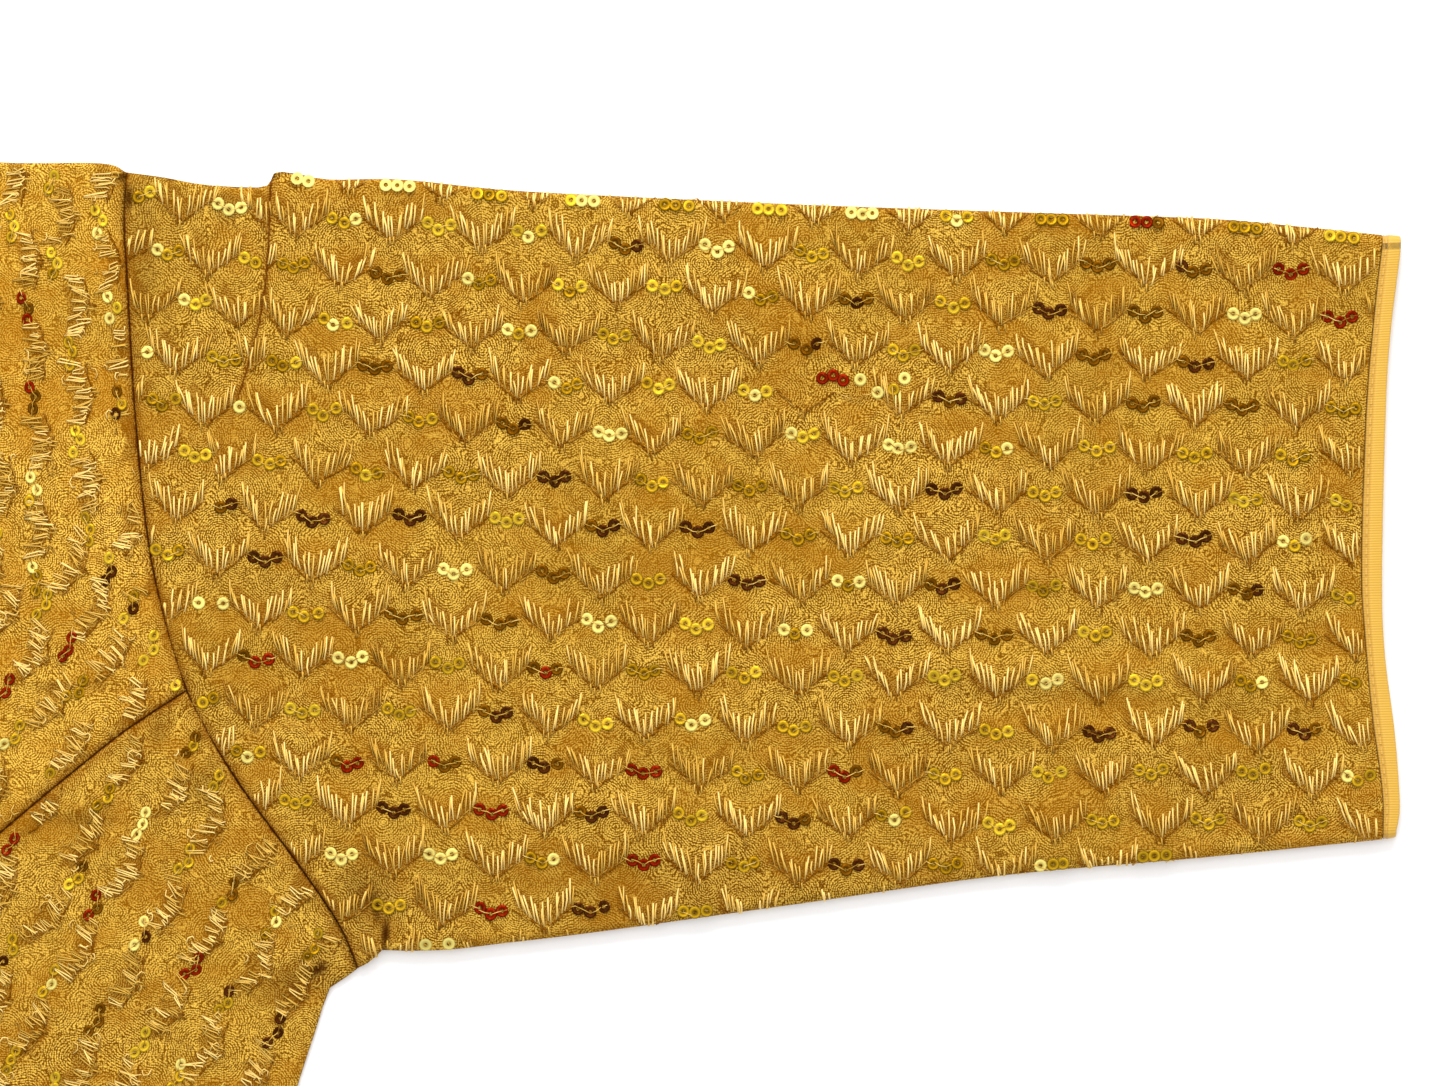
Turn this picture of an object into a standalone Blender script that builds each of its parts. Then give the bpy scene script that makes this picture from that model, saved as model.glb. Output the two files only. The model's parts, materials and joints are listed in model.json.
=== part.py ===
"""Choli blouse, laid flat on its back: front up, neck towards +Y, the wearer's left towards +X.

Each cut piece is one closed wall of cloth. A piece starts as a grid, which is moved on to its cut outline
and then given its thickness. The tables hold positions in millimetres on the table that the blouse lies on:
"across" is the distance from the centre line towards the piece's own side, and "down" is the distance
below the shoulder tips. Both sides are made from the same tables.
"""

from typing import NamedTuple

import bmesh
import bpy
import numpy as np

MM = 0.001

# Driving dimensions, in metres.
WALL = 1.2 * MM  # embroidered georgette with its backing
SEAM_GAP = 0.3 * MM  # between two layers
CLEAR = 0.2  # how far a piece stops short of its seam line, in table millimetres
SLEEVE_CLEAR = 0.5  # the same for the sleeve, whose seam line is bent the other way
SHOULDER_TIP_Y = 177.2 * MM  # where "down" is 0
BODY_DOWN = 360.0  # shoulder tip to hem, in table millimetres
LAP = 10.0  # how far each front runs past the centre line, in table millimetres
EDGE_TOP = 2 * WALL + SEAM_GAP  # upper face of the front where it lies on the back
FRONT_LOFT = 1.9 * MM  # how far the front rises above that inside its edges
EDGE_SLOPE = 30.0  # table millimetres over which it rises
HOOK_WIRE = 0.8 * MM
LAP_TOP = EDGE_TOP + SEAM_GAP + HOOK_WIRE + SEAM_GAP + WALL  # upper face of the lapping front
SLEEVE_HEIGHT = 5.2 * MM  # flattened sleeve, outside
ARMHOLE_HEIGHT = 4.8 * MM  # the same where it is sewn in
CUFF_HEIGHT = 4.8 * MM
CUFF_WALL = 1.3 * MM
NECK_BINDING_WIDTH = 5.0 * MM
NECK_BINDING_WALL = 1.3 * MM
NECK_BINDING_LIFT = 0.15 * MM  # how far the front binding stands above the panel's edge
HOOK_COUNT = 5
HOOK_FIRST_DOWN = 176.0
HOOK_LAST_DOWN = 344.0


class Spot(NamedTuple):
    """A point of an outline, in millimetres on the table."""

    across: float
    down: float


class Fold(NamedTuple):
    """A soft ridge, or a trough where rise is below zero, in millimetres on the table."""

    across: float
    down: float
    end_across: float
    end_down: float
    rise: float
    half_width: float


FRONT_NECK = [
    Spot(-LAP, 160.7),
    Spot(0, 161),
    Spot(24, 158.5),
    Spot(48, 148),
    Spot(72, 127),
    Spot(90, 96),
    Spot(101, 60),
    Spot(108, 25),
    Spot(112, -5),
]
BACK_NECK = [
    Spot(0, 92),
    Spot(16, 91.6),
    Spot(34, 88.5),
    Spot(60, 79),
    Spot(84, 62),
    Spot(100, 40),
    Spot(109, 15),
    Spot(112, -5),
]
SHOULDER = [Spot(112, -5), Spot(135, -2), Spot(160, 0), Spot(183, 0.2), Spot(189.1, 2.4)]
UPPER_ARMHOLE = [
    Spot(189.1, 2.4),
    Spot(188.6, 14),
    Spot(189.3, 28),
    Spot(191.5, 64),
    Spot(195.5, 97.4),
    Spot(203.5, 126.5),
]
LOWER_ARMHOLE = [Spot(203.5, 126.5), Spot(215, 147.1), Spot(230.4, 168.3), Spot(240, 182.4), Spot(244.6, 193)]
PRINCESS = [
    Spot(92, BODY_DOWN),
    Spot(92, 310),
    Spot(94, 275),
    Spot(99, 246),
    Spot(108, 220),
    Spot(122, 197),
    Spot(140, 177.5),
    Spot(158.4, 161),
    Spot(185.7, 138.5),
    Spot(203.5, 126.5),
]
SIDE_SEAM = [
    Spot(204, 355),
    Spot(205, 340),
    Spot(209, 310),
    Spot(215, 278),
    Spot(222, 248),
    Spot(229.7, 222),
    Spot(234, 208.8),
    Spot(237.6, 198),
    Spot(241.2, 195.6),
    Spot(244.6, 193),
]
SLEEVE_TOP = [
    Spot(189.1, 2.4),
    Spot(198, 3.6),
    Spot(205.2, 5),
    Spot(212.4, 5.8),
    Spot(219.6, 6),
    Spot(223.2, 4.6),
    Spot(226.8, 2.6),
    Spot(231, 2.6),
    Spot(237.6, 4.1),
    Spot(254.4, 4.1),
    Spot(278.4, 6.5),
    Spot(302.4, 7.9),
    Spot(350.4, 10.1),
    Spot(398.4, 11.8),
    Spot(446.4, 13.4),
    Spot(470.4, 15.4),
    Spot(489.8, 17.4),
]
SLEEVE_UNDER = [
    Spot(244.6, 193),
    Spot(247.7, 191.3),
    Spot(250.6, 188.6),
    Spot(254.4, 188.9),
    Spot(266.4, 188.6),
    Spot(278.4, 187.2),
    Spot(302.4, 184.3),
    Spot(350.4, 177.6),
    Spot(398.4, 170.9),
    Spot(446.4, 166.6),
    Spot(489.8, 162.2),
]
CUFF_SEAM = [
    Spot(489.8, 17.4),
    Spot(487.7, 36.2),
    Spot(485.8, 59),
    Spot(484.6, 95.5),
    Spot(485.5, 114.2),
    Spot(487.2, 132.5),
    Spot(489.6, 150.7),
    Spot(489.8, 162.2),
]
CUFF_EDGE = [
    Spot(493.6, 17.4),
    Spot(494.2, 20.5),
    Spot(491.8, 40.3),
    Spot(490.6, 59.5),
    Spot(489.7, 97.9),
    Spot(490.3, 117.1),
    Spot(492.7, 136.3),
    Spot(493.9, 152),
    Spot(493.6, 158),
    Spot(492.2, 162),
]

# The sleeve cap laps over itself in one tuck: the cloth outside this line lies higher.
TUCK = [Spot(223.7, 4), Spot(222.7, 27), Spot(219.1, 46), Spot(211.1, 71)]
TUCK_RISE = 0.9
TUCK_DIP = -0.35
TUCK_FADE = 12.0  # how far outside the line its rise dies away

SLEEVE_FOLDS = [
    Fold(366, 128, 484, 135, -0.8, 6),
    Fold(246, 178, 254, 190, -0.9, 4),
    Fold(262, 150, 330, 160, 0.5, 9),
    Fold(300, 60, 420, 66, -0.35, 14),
    Fold(390, 96, 470, 90, 0.35, 12),
]
FRONT_FOLDS = [
    Fold(168, 62, 184, 106, -0.7, 6),
    Fold(150, 40, 166, 96, 0.6, 8),
    Fold(150, 205, 226, 176, 0.6, 9),
    Fold(120, 262, 196, 244, -0.6, 10),
    Fold(30, 220, 84, 262, 0.5, 12),
    Fold(110, 330, 190, 312, 0.5, 11),
]

# Rows of each panel from hem to shoulder, and the row at which one seam ends and the next begins.
FRONT_ROWS = 26
NECK_ROW = 12
PRINCESS_END_ROW = 18
BACK_ROWS = 26
BACK_NECK_ROW = 16
ARMPIT_ROW = 11


def smoothstep(x):
    x = np.clip(x, 0.0, 1.0)
    return x * x * (3 - 2 * x)


class Edge:
    """A smooth line through an outline's points. A call gives the point at a share of its length."""

    def __init__(self, spots, steps=24):
        points = np.array(spots, float)
        ends = np.vstack([2 * points[0] - points[1], points, 2 * points[-1] - points[-2]])
        share = np.linspace(0, 1, steps, endpoint=False)[:, None]
        runs = []
        for before, start, end, after in zip(ends, ends[1:], ends[2:], ends[3:]):
            runs.append(
                start
                + 0.5 * share * (end - before)
                + share**2 * (before - 2.5 * start + 2 * end - 0.5 * after)
                + 0.5 * share**3 * (3 * start - 3 * end + after - before)
            )
        self.line = np.vstack(runs + [points[-1:]])
        steps_along = np.hypot(*np.diff(self.line, axis=0).T)
        self.along = np.concatenate([[0], np.cumsum(steps_along)]) / steps_along.sum()

    def __call__(self, share):
        return np.array([np.interp(share, self.along, self.line[:, k]) for k in (0, 1)])

    def distance(self, point):
        """How far a point is from the line."""
        start, end = self.line[:-1], self.line[1:]
        run = end - start
        share = np.clip(((point - start) * run).sum(1) / (run * run).sum(1), 0, 1)
        return np.hypot(*(start + share[:, None] * run - point).T).min()


def joined(first, second, change):
    """An edge that follows one line up to the share `change`, and another from there."""
    return lambda share: first(share / change) if share <= change else second((share - change) / (1 - change))


def patch(left, right, bottom, top, u, v):
    """The point of a four-sided panel at (u, v): a Coons patch between its edges."""
    between_sides = (1 - u) * left(v) + u * right(v)
    between_ends = (1 - v) * bottom(u) + v * top(u)
    corners = (1 - v) * ((1 - u) * left(0) + u * right(0)) + v * ((1 - u) * left(1) + u * right(1))
    return between_sides + between_ends - corners


def inset(share, length, gap):
    """A share from 0 to 1, drawn in by `gap` at both ends of an edge of that length."""
    margin = gap / length
    return margin + share * (1 - 2 * margin)


def fold_rise(folds, spot):
    """The height that soft folds add at a point, in table millimetres."""
    total = 0.0
    for fold in folds:
        start, end = np.array([fold.across, fold.down]), np.array([fold.end_across, fold.end_down])
        run = end - start
        share = np.clip((spot - start) @ run / (run @ run), 0, 1)
        off_line = np.hypot(*(start + share * run - spot))
        taper = 0.35 + 0.65 * np.sin(np.pi * share)
        total += fold.rise * taper * np.exp(-((off_line / fold.half_width) ** 2))
    return total


def on_table(spot, side, height):
    """A table point, in millimetres, as a point of the model in metres."""
    return side * spot[0] * MM, SHOULDER_TIP_Y - spot[1] * MM, height


ARMHOLE = Edge(UPPER_ARMHOLE + LOWER_ARMHOLE[1:])
UPPER_EDGE = Edge(UPPER_ARMHOLE)
LOWER_EDGE = Edge(LOWER_ARMHOLE)
SHOULDER_EDGE = Edge(SHOULDER)
SIDE_EDGE = Edge(SIDE_SEAM)
PRINCESS_EDGE = Edge(PRINCESS)
NECK_EDGE = Edge(FRONT_NECK)
BACK_NECK_EDGE = Edge(BACK_NECK)
LAP_EDGE = Edge([Spot(-LAP, BODY_DOWN), Spot(-LAP, 260), Spot(-LAP, 160.7)])
CENTRE_BACK = Edge([Spot(0, BODY_DOWN), Spot(0, 220), Spot(0, 92)])
FRONT_HEM = Edge([Spot(-LAP, BODY_DOWN), Spot(40, BODY_DOWN), Spot(92, BODY_DOWN)])
SIDE_HEM = Edge([Spot(92, BODY_DOWN), Spot(150, 358.5), Spot(204, 355)])
BACK_HEM = Edge([Spot(0, BODY_DOWN), Spot(92, BODY_DOWN), Spot(150, 358.5), Spot(204, 355)])
TOP_EDGE = Edge(SLEEVE_TOP)
UNDER_EDGE = Edge(SLEEVE_UNDER)
CUFF_LINE = Edge(CUFF_SEAM)
CUFF_RIM = Edge(CUFF_EDGE)


def material(name, colour, roughness, metallic=0.0):
    made = bpy.data.materials.new(name)
    made.use_nodes = True
    shader = made.node_tree.nodes["Principled BSDF"]
    shader.inputs["Base Color"].default_value = (*colour, 1)
    shader.inputs["Roughness"].default_value = roughness
    shader.inputs["Metallic"].default_value = metallic
    return made


def cloth(name, place, columns, rows, wall, finish, side=1, tube=False, mirrored=False):
    """A wall of cloth: a grid moved on to its outer face by place(column, row), then thickened inwards."""
    bpy.ops.mesh.primitive_grid_add(x_subdivisions=columns, y_subdivisions=rows, size=2)
    piece = bpy.context.object
    piece.name = name
    mesh = piece.data
    mesh.name = name
    for vertex in mesh.vertices:
        column = round((vertex.co.x + 1) / 2 * columns)
        row = round((vertex.co.y + 1) / 2 * rows)
        vertex.co = place(column, row)
    if side < 0:
        mesh.flip_normals()
    if tube:
        welded = bmesh.new()
        welded.from_mesh(mesh)
        bmesh.ops.remove_doubles(welded, verts=welded.verts, dist=0.01 * MM)
        welded.to_mesh(mesh)
        welded.free()
    if mirrored:
        other_half = piece.modifiers.new("other half", "MIRROR")
        other_half.merge_threshold = 0.01 * MM
    thickness = piece.modifiers.new("wall", "SOLIDIFY")
    thickness.thickness = wall
    thickness.offset = -1
    mesh.materials.append(finish)
    mesh.shade_smooth()
    mesh.set_sharp_from_angle(angle=np.radians(50))
    for collection in piece.users_collection:
        collection.objects.unlink(piece)
    BLOUSE.objects.link(piece)
    return piece


def front_top(spot, lapping):
    """Height of a front's upper face: low along its free and sewn edges, and over or under at the centre."""
    edges = (NECK_EDGE, SHOULDER_EDGE, SIDE_EDGE, FRONT_HEM, SIDE_HEM)
    nearest = min(edge.distance(spot) for edge in edges)
    rise = smoothstep(nearest / EDGE_SLOPE)
    body = EDGE_TOP + rise * (FRONT_LOFT + fold_rise(FRONT_FOLDS, spot) * MM)
    if lapping:
        return body + (LAP_TOP - body) * (1 - smoothstep((spot[0] - 15) / 30))
    return EDGE_TOP + (body - EDGE_TOP) * smoothstep((spot[0] - 14) / 25)


def front_centre_spot(u, v):
    """Centre panel: centre front and neckline on one side, princess seam and armhole on the other."""
    inner = joined(LAP_EDGE, NECK_EDGE, NECK_ROW / FRONT_ROWS)
    outer = joined(PRINCESS_EDGE, lambda share: UPPER_EDGE(1 - share), PRINCESS_END_ROW / FRONT_ROWS)
    u_in = inset(u, np.hypot(*(outer(v) - inner(v))), CLEAR)
    return patch(inner, outer, FRONT_HEM, SHOULDER_EDGE, u_in, v)


def front_side_spot(u, v):
    """Side panel: princess seam, side seam, and the lower part of the armhole along its top."""
    u_in = inset(u, np.hypot(*(SIDE_EDGE(v) - PRINCESS_EDGE(v))), CLEAR)
    return patch(PRINCESS_EDGE, SIDE_EDGE, SIDE_HEM, LOWER_EDGE, u_in, v * (1 - CLEAR / SIDE_LENGTH))


def back_spot(u, v):
    """Half of the back: centre back and neckline on one side, side seam and armhole on the other."""
    inner = joined(CENTRE_BACK, BACK_NECK_EDGE, BACK_NECK_ROW / BACK_ROWS)
    outer = joined(SIDE_EDGE, lambda share: ARMHOLE(1 - share), ARMPIT_ROW / BACK_ROWS)
    across = u * (1 - CLEAR / np.hypot(*(outer(v) - inner(v))))
    return patch(inner, outer, BACK_HEM, SHOULDER_EDGE, across, v)


def sleeve_loop(across_steps, under_steps):
    """The places round a flattened tube, as (share of the width, run past the fold, share of the height)."""
    loop = [((k + 0.5) / across_steps, 0, 1) for k in range(across_steps)]
    turn = np.radians([60, 20, -20, -60])
    loop += [(1, np.cos(a), 0.5 + 0.5 * np.sin(a)) for a in turn]
    loop += [(1 - (k + 0.5) / under_steps, 0, 0) for k in range(under_steps)]
    loop += [(0, -np.cos(a), 0.5 - 0.5 * np.sin(a)) for a in turn]
    return loop + loop[:1]


def tube_point(ring, place, height, side, bumps=None):
    """A point of a flattened tube's outer face. ring(t) is a line across the tube, from fold to fold."""
    share, past_fold, level = place
    fold = height / MM / 2
    width = np.hypot(*(ring(1.0) - ring(0.0)))
    spot = ring(inset(share, width, fold))
    if past_fold:
        end = 1.0 if past_fold > 0 else 0.0
        turn = ring(end) - ring(inset(end, width, fold))
        spot = spot + abs(past_fold) * turn
    lift = bumps(spot) * MM if bumps and level == 1 else 0
    return on_table(spot, side, level * height + lift)


def tuck_rise(spot):
    """The step where the sleeve cap laps over itself, in table millimetres."""
    beyond = spot[0] - np.interp(spot[1], [p.down for p in TUCK], [p.across for p in TUCK])
    fade = 1 - smoothstep((spot[1] - 30) / 45)
    above = TUCK_RISE * np.exp(-((beyond / TUCK_FADE) ** 2)) * smoothstep((beyond + 1.5) / 3)
    below = TUCK_DIP * np.exp(-((beyond / 8) ** 2)) * (1 - smoothstep((beyond + 1.5) / 3))
    return fade * (above + below)


SLEEVE_LENGTH = SLEEVE_TOP[-1].across - SLEEVE_TOP[0].across
SIDE_LENGTH = SIDE_SEAM[0].down - SIDE_SEAM[-1].down

# Where the sleeve's rings lie, as shares of its length: close together over the cap's tuck.
RINGS = [0, 0.03, 0.06, 0.085, 0.105, 0.12, 0.135, 0.16, 0.21, 0.27, 0.34, 0.41, 0.49, 0.57, 0.65, 0.73, 0.81, 0.88,
         0.94, 1]
SLEEVE_LOOP = sleeve_loop(16, 12)
CUFF_RINGS = [0, 0.5, 1]


def sleeve(name, side, finish):
    """A flattened sleeve, open at the armhole and at the wrist."""

    def place(column, row):
        along = SLEEVE_CLEAR / SLEEVE_LENGTH + RINGS[row] * (1 - (SLEEVE_CLEAR + CLEAR) / SLEEVE_LENGTH)
        height = ARMHOLE_HEIGHT + (SLEEVE_HEIGHT - ARMHOLE_HEIGHT) * smoothstep(along / 0.08)
        height += (CUFF_HEIGHT - SLEEVE_HEIGHT) * smoothstep((along - 0.9) / 0.1)

        def ring(t):
            return patch(ARMHOLE, CUFF_LINE, TOP_EDGE, UNDER_EDGE, along, t)

        ends = smoothstep(along / 0.03) * smoothstep((1 - along) / 0.05)
        return tube_point(
            ring,
            SLEEVE_LOOP[column],
            height,
            side,
            lambda spot: ends * (fold_rise(SLEEVE_FOLDS, spot) + tuck_rise(spot)),
        )

    # A patch runs armhole to cuff in u and top fold to underarm fold in v.
    return cloth(name, place, len(SLEEVE_LOOP) - 1, len(RINGS) - 1, WALL, finish, side, tube=True)


def cuff_binding(name, side, finish):
    """A folded strip of plain satin round the sleeve's edge, as a short flattened tube."""
    top = Edge([CUFF_SEAM[0], CUFF_EDGE[0]])
    under = Edge([CUFF_SEAM[-1], CUFF_EDGE[-1]])

    def place(column, row):
        along = CUFF_RINGS[row]

        def ring(t):
            return patch(CUFF_LINE, CUFF_RIM, top, under, along, t)

        return tube_point(ring, SLEEVE_LOOP[column], CUFF_HEIGHT - 0.1 * MM, side)

    return cloth(name, place, len(SLEEVE_LOOP) - 1, len(CUFF_RINGS) - 1, CUFF_WALL, finish, side, tube=True)


def front_centre(name, side, lapping, finish):
    columns = 11

    def place(column, row):
        spot = front_centre_spot(column / columns, row / FRONT_ROWS)
        return on_table(spot, side, front_top(spot, lapping))

    return cloth(name, place, columns, FRONT_ROWS, WALL, finish, side)


def front_side(name, side, lapping, finish):
    columns, rows = 9, 16

    def place(column, row):
        spot = front_side_spot(column / columns, 1 - (1 - row / rows) ** 1.25)
        return on_table(spot, side, front_top(spot, lapping))

    return cloth(name, place, columns, rows, WALL, finish, side)


def back(name, finish):
    """The back, cut in one piece and flat on the table: a half and its mirror image."""
    columns = 9

    def place(column, row):
        return on_table(back_spot(column / columns, row / BACK_ROWS), 1, WALL)

    return cloth(name, place, columns, BACK_ROWS, WALL, finish, mirrored=True)


def beside(line, share, gap):
    """The point at a distance from a line, on its left as it runs, with the line's own ends kept square."""
    step = 0.004
    run = line(min(share + step, 1)) - line(max(share - step, 0))
    return line(share) + gap * np.array([run[1], -run[0]]) / np.hypot(*run)


def neck_binding(name, edge, rows, top, finish, side=1, mirrored=False):
    """A folded strip of plain satin along a neckline, edge to edge with its panel."""
    columns = 2

    def place(column, row):
        away = 2 * CLEAR + (NECK_BINDING_WIDTH / MM - 2 * CLEAR) * column / columns
        spot = beside(edge, row / rows, away)
        if mirrored and row == 0:
            spot[0] = 0.0
        return on_table(spot, side, top(edge(row / rows)))

    return cloth(name, place, columns, rows, NECK_BINDING_WALL, finish, -side, mirrored=mirrored)


def hook(name, down, finish):
    """A wire hook under the lapping edge: two sewing eyes, and a flat hairpin that points across the lap."""
    eye, half_gap, reach = 1.1, 0.75, 5.0
    turns = np.radians(np.linspace(250, 20, 6))
    upper_eye = [(eye * np.cos(a), half_gap + eye + eye * np.sin(a)) for a in turns]
    bend = np.radians(np.linspace(90, 0, 4))
    upper_arm = [(reach + half_gap * np.cos(a), half_gap * np.sin(a)) for a in bend]
    upper = upper_eye + [(eye + 0.9, half_gap + 0.2)] + upper_arm
    route = upper + [(x, -y) for x, y in reversed(upper[:-1])]
    curve = bpy.data.curves.new(name, "CURVE")
    curve.dimensions = "3D"
    curve.bevel_depth = HOOK_WIRE / 2
    curve.bevel_resolution = 1
    curve.use_fill_caps = True
    spline = curve.splines.new("POLY")
    spline.points.add(len(route) - 1)
    centre = EDGE_TOP + SEAM_GAP + HOOK_WIRE / 2
    for point, (x, y) in zip(spline.points, route):
        point.co = (*on_table((4.0 - x, down + y), 1, centre), 1)
    curve.materials.append(finish)
    piece = bpy.data.objects.new(name, curve)
    BLOUSE.objects.link(piece)
    return piece


for old in list(bpy.data.objects):
    bpy.data.objects.remove(old)
BLOUSE = bpy.data.collections.new("choli blouse")
bpy.context.scene.collection.children.link(BLOUSE)

GOLD_CLOTH = material("embroidered gold georgette", (0.52, 0.31, 0.075), 0.55)
GOLD_SATIN = material("plain gold satin", (0.80, 0.46, 0.12), 0.45)
HOOK_METAL = material("brass wire", (0.62, 0.48, 0.22), 0.35, metallic=1.0)

back("back", GOLD_CLOTH)
neck_binding(
    "neck_binding_back",
    BACK_NECK_EDGE,
    BACK_ROWS - BACK_NECK_ROW,
    lambda spot: NECK_BINDING_WALL,
    GOLD_SATIN,
    mirrored=True,
)
for wearer_side, side, lapping in (("left", 1, False), ("right", -1, True)):
    front_centre(f"front_centre_{wearer_side}", side, lapping, GOLD_CLOTH)
    front_side(f"front_side_{wearer_side}", side, lapping, GOLD_CLOTH)
    sleeve(f"sleeve_{wearer_side}", side, GOLD_CLOTH)
    cuff_binding(f"cuff_binding_{wearer_side}", side, GOLD_SATIN)
    neck_binding(
        f"neck_binding_front_{wearer_side}",
        NECK_EDGE,
        FRONT_ROWS - NECK_ROW,
        lambda spot, lapping=lapping: front_top(spot, lapping) + NECK_BINDING_LIFT,
        GOLD_SATIN,
        side,
    )
for number in range(HOOK_COUNT):
    hook_down = HOOK_FIRST_DOWN + (HOOK_LAST_DOWN - HOOK_FIRST_DOWN) * number / (HOOK_COUNT - 1)
    hook(f"hook_{number + 1}", hook_down, HOOK_METAL)
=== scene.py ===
"""Choli blouse of embroidered gold georgette, laid flat on a white table with its front up.

Lengths are in millimetres on the table, and become metres where a mesh is made. A spot on the table is
(across, down): across from the centre line towards the piece's own side, and down from the shoulder tips.
"""

import json

import bpy
import numpy as np
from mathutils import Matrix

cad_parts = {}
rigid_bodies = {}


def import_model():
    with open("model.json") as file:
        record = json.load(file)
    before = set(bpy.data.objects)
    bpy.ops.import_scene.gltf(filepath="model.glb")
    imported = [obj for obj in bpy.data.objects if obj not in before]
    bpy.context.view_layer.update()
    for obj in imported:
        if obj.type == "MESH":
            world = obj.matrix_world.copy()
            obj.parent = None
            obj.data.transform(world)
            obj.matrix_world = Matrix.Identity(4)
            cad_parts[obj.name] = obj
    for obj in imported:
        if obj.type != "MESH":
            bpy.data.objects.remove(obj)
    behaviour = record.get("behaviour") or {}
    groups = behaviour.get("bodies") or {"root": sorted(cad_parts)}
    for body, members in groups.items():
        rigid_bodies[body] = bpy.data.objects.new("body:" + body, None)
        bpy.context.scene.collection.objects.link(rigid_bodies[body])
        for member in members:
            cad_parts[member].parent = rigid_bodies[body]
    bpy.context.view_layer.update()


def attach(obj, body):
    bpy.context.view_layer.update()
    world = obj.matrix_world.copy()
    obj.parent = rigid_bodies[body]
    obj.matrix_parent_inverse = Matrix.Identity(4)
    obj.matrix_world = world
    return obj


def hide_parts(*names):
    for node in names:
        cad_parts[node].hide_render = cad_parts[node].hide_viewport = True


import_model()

# ------------------------------------------------------------
# The table, the light and the camera.
# A white table top under a large soft light beyond the shoulders and another overhead, seen from straight
# above the wearer's left sleeve.

MM = 0.001
SHOULDER_TIP_Y = 177.2  # where "down" is 0, in the frame's Y
VIEW_CENTRE = (332.2, 86.0)  # across, and in the frame's Y
VIEW_WIDTH = 347.5
VIEW_HEIGHT = 1500.0
SENSOR = 36.0
TABLE_HALF = 3.0  # in metres
TABLE_LEVEL = -0.1


class Value:
    """A number in a material's node tree. Arithmetic on it adds Math nodes."""

    def __init__(self, finish, socket):
        self.finish, self.socket = finish, socket

    def __add__(self, other):
        return self.finish.math("ADD", self, other)

    def __sub__(self, other):
        return self.finish.math("SUBTRACT", self, other)

    def __rsub__(self, other):
        return self.finish.math("SUBTRACT", other, self)

    def __mul__(self, other):
        return self.finish.math("MULTIPLY", self, other)

    def __truediv__(self, other):
        return self.finish.math("DIVIDE", self, other)

    def __lt__(self, other):
        return self.finish.math("LESS_THAN", self, other)

    def __abs__(self):
        return self.finish.math("ABSOLUTE", self)

    __radd__, __rmul__ = __add__, __mul__

    def wave(self):
        """A sine between 0 and 1."""
        return self.finish.math("SINE", self) * 0.5 + 0.5

    def rise(self, low, high):
        """0 below low and 1 above high, with a smooth step between."""
        sockets = {"Value": self, "From Min": low, "From Max": high}
        return self.finish.output(self.finish.node("MapRange", {"interpolation_type": "SMOOTHSTEP"}, sockets))

    def fall(self, low, high):
        """1 below low and 0 above high."""
        return 1 - self.rise(low, high)


class Finish:
    """A material with a Principled shader, painted coat by coat from expressions on Values."""

    def __init__(self, name, colour, sockets):
        self.material = bpy.data.materials.new(name)
        self.material.use_nodes = True
        self.tree = self.material.node_tree
        self.shader = self.tree.nodes["Principled BSDF"]
        self.colour = (*colour, 1)
        self.feed(self.shader, {"Base Color": self.colour, **sockets})

    def feed(self, node, sockets):
        for key, value in sockets.items():
            if isinstance(value, Value):
                self.tree.links.new(value.socket, node.inputs[key])
            else:
                node.inputs[key].default_value = value

    def node(self, kind, settings=None, sockets=None):
        """Adds a node: its settings first, then the values or links of its sockets."""
        made = self.tree.nodes.new("ShaderNode" + kind)
        for key, value in (settings or {}).items():
            setattr(made, key, value)
        self.feed(made, sockets or {})
        return made

    def output(self, made, key=0):
        return Value(self, made.outputs[key])

    def math(self, operation, *values):
        return self.output(self.node("Math", {"operation": operation}, dict(enumerate(values))))

    def scaled(self, vector, factors):
        return self.output(self.node("VectorMath", {"operation": "MULTIPLY"}, {0: vector, 1: factors}))

    def split(self, vector):
        """The first two numbers of a vector."""
        parts = self.node("SeparateXYZ", {}, {0: vector})
        return self.output(parts, 0), self.output(parts, 1)

    def place(self):
        """The spot in millimetres, in the frame."""
        return self.scaled(self.output(self.node("TexCoord"), "Object"), (1 / MM,) * 3)

    def uv(self, name):
        return self.output(self.node("UVMap", {"uv_map": name}))

    def attribute(self, name, key="Fac"):
        return self.output(self.node("Attribute", {"attribute_name": name}), key)

    def noise(self, vector, scale, detail=2.0):
        """Noise about 0.5, with that many lumps to a unit, or that many along each axis."""
        scaled = self.scaled(vector, scale if isinstance(scale, tuple) else (scale,) * 3)
        return self.output(self.node("TexNoise", {}, {"Vector": scaled, "Scale": 1.0, "Detail": detail}))

    def paint(self, share, colour):
        """Lays a colour over what is painted so far, wholly where the share is 1."""
        settings = {"data_type": "RGBA", "clamp_factor": True}
        self.colour = self.output(self.node("Mix", settings, {0: share, 6: self.colour, 7: (*colour, 1)}), 2)
        self.feed(self.shader, {"Base Color": self.colour})

    def bump(self, height, distance):
        """Bump from a height of 0 to 1, that much in millimetres."""
        made = self.node("Bump", {}, {"Height": height, "Distance": distance * MM, "Strength": 1.0})
        self.feed(self.shader, {"Normal": self.output(made)})


def linked(name, data):
    """A new object with this data, in the scene."""
    made = bpy.data.objects.new(name, data)
    bpy.context.scene.collection.objects.link(made)
    return made


def soft_light(name, place, size, power):
    """A square of light of that size, turned to the middle of the view."""
    data = bpy.data.lights.new(name, "AREA")
    data.shape, data.size, data.energy = "SQUARE", size, power
    light = linked(name, data)
    light.location = place
    to_view = -light.location.copy()
    to_view.x += VIEW_CENTRE[0] * MM
    to_view.y += VIEW_CENTRE[1] * MM
    light.rotation_euler = to_view.to_track_quat("-Z", "Y").to_euler()


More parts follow.
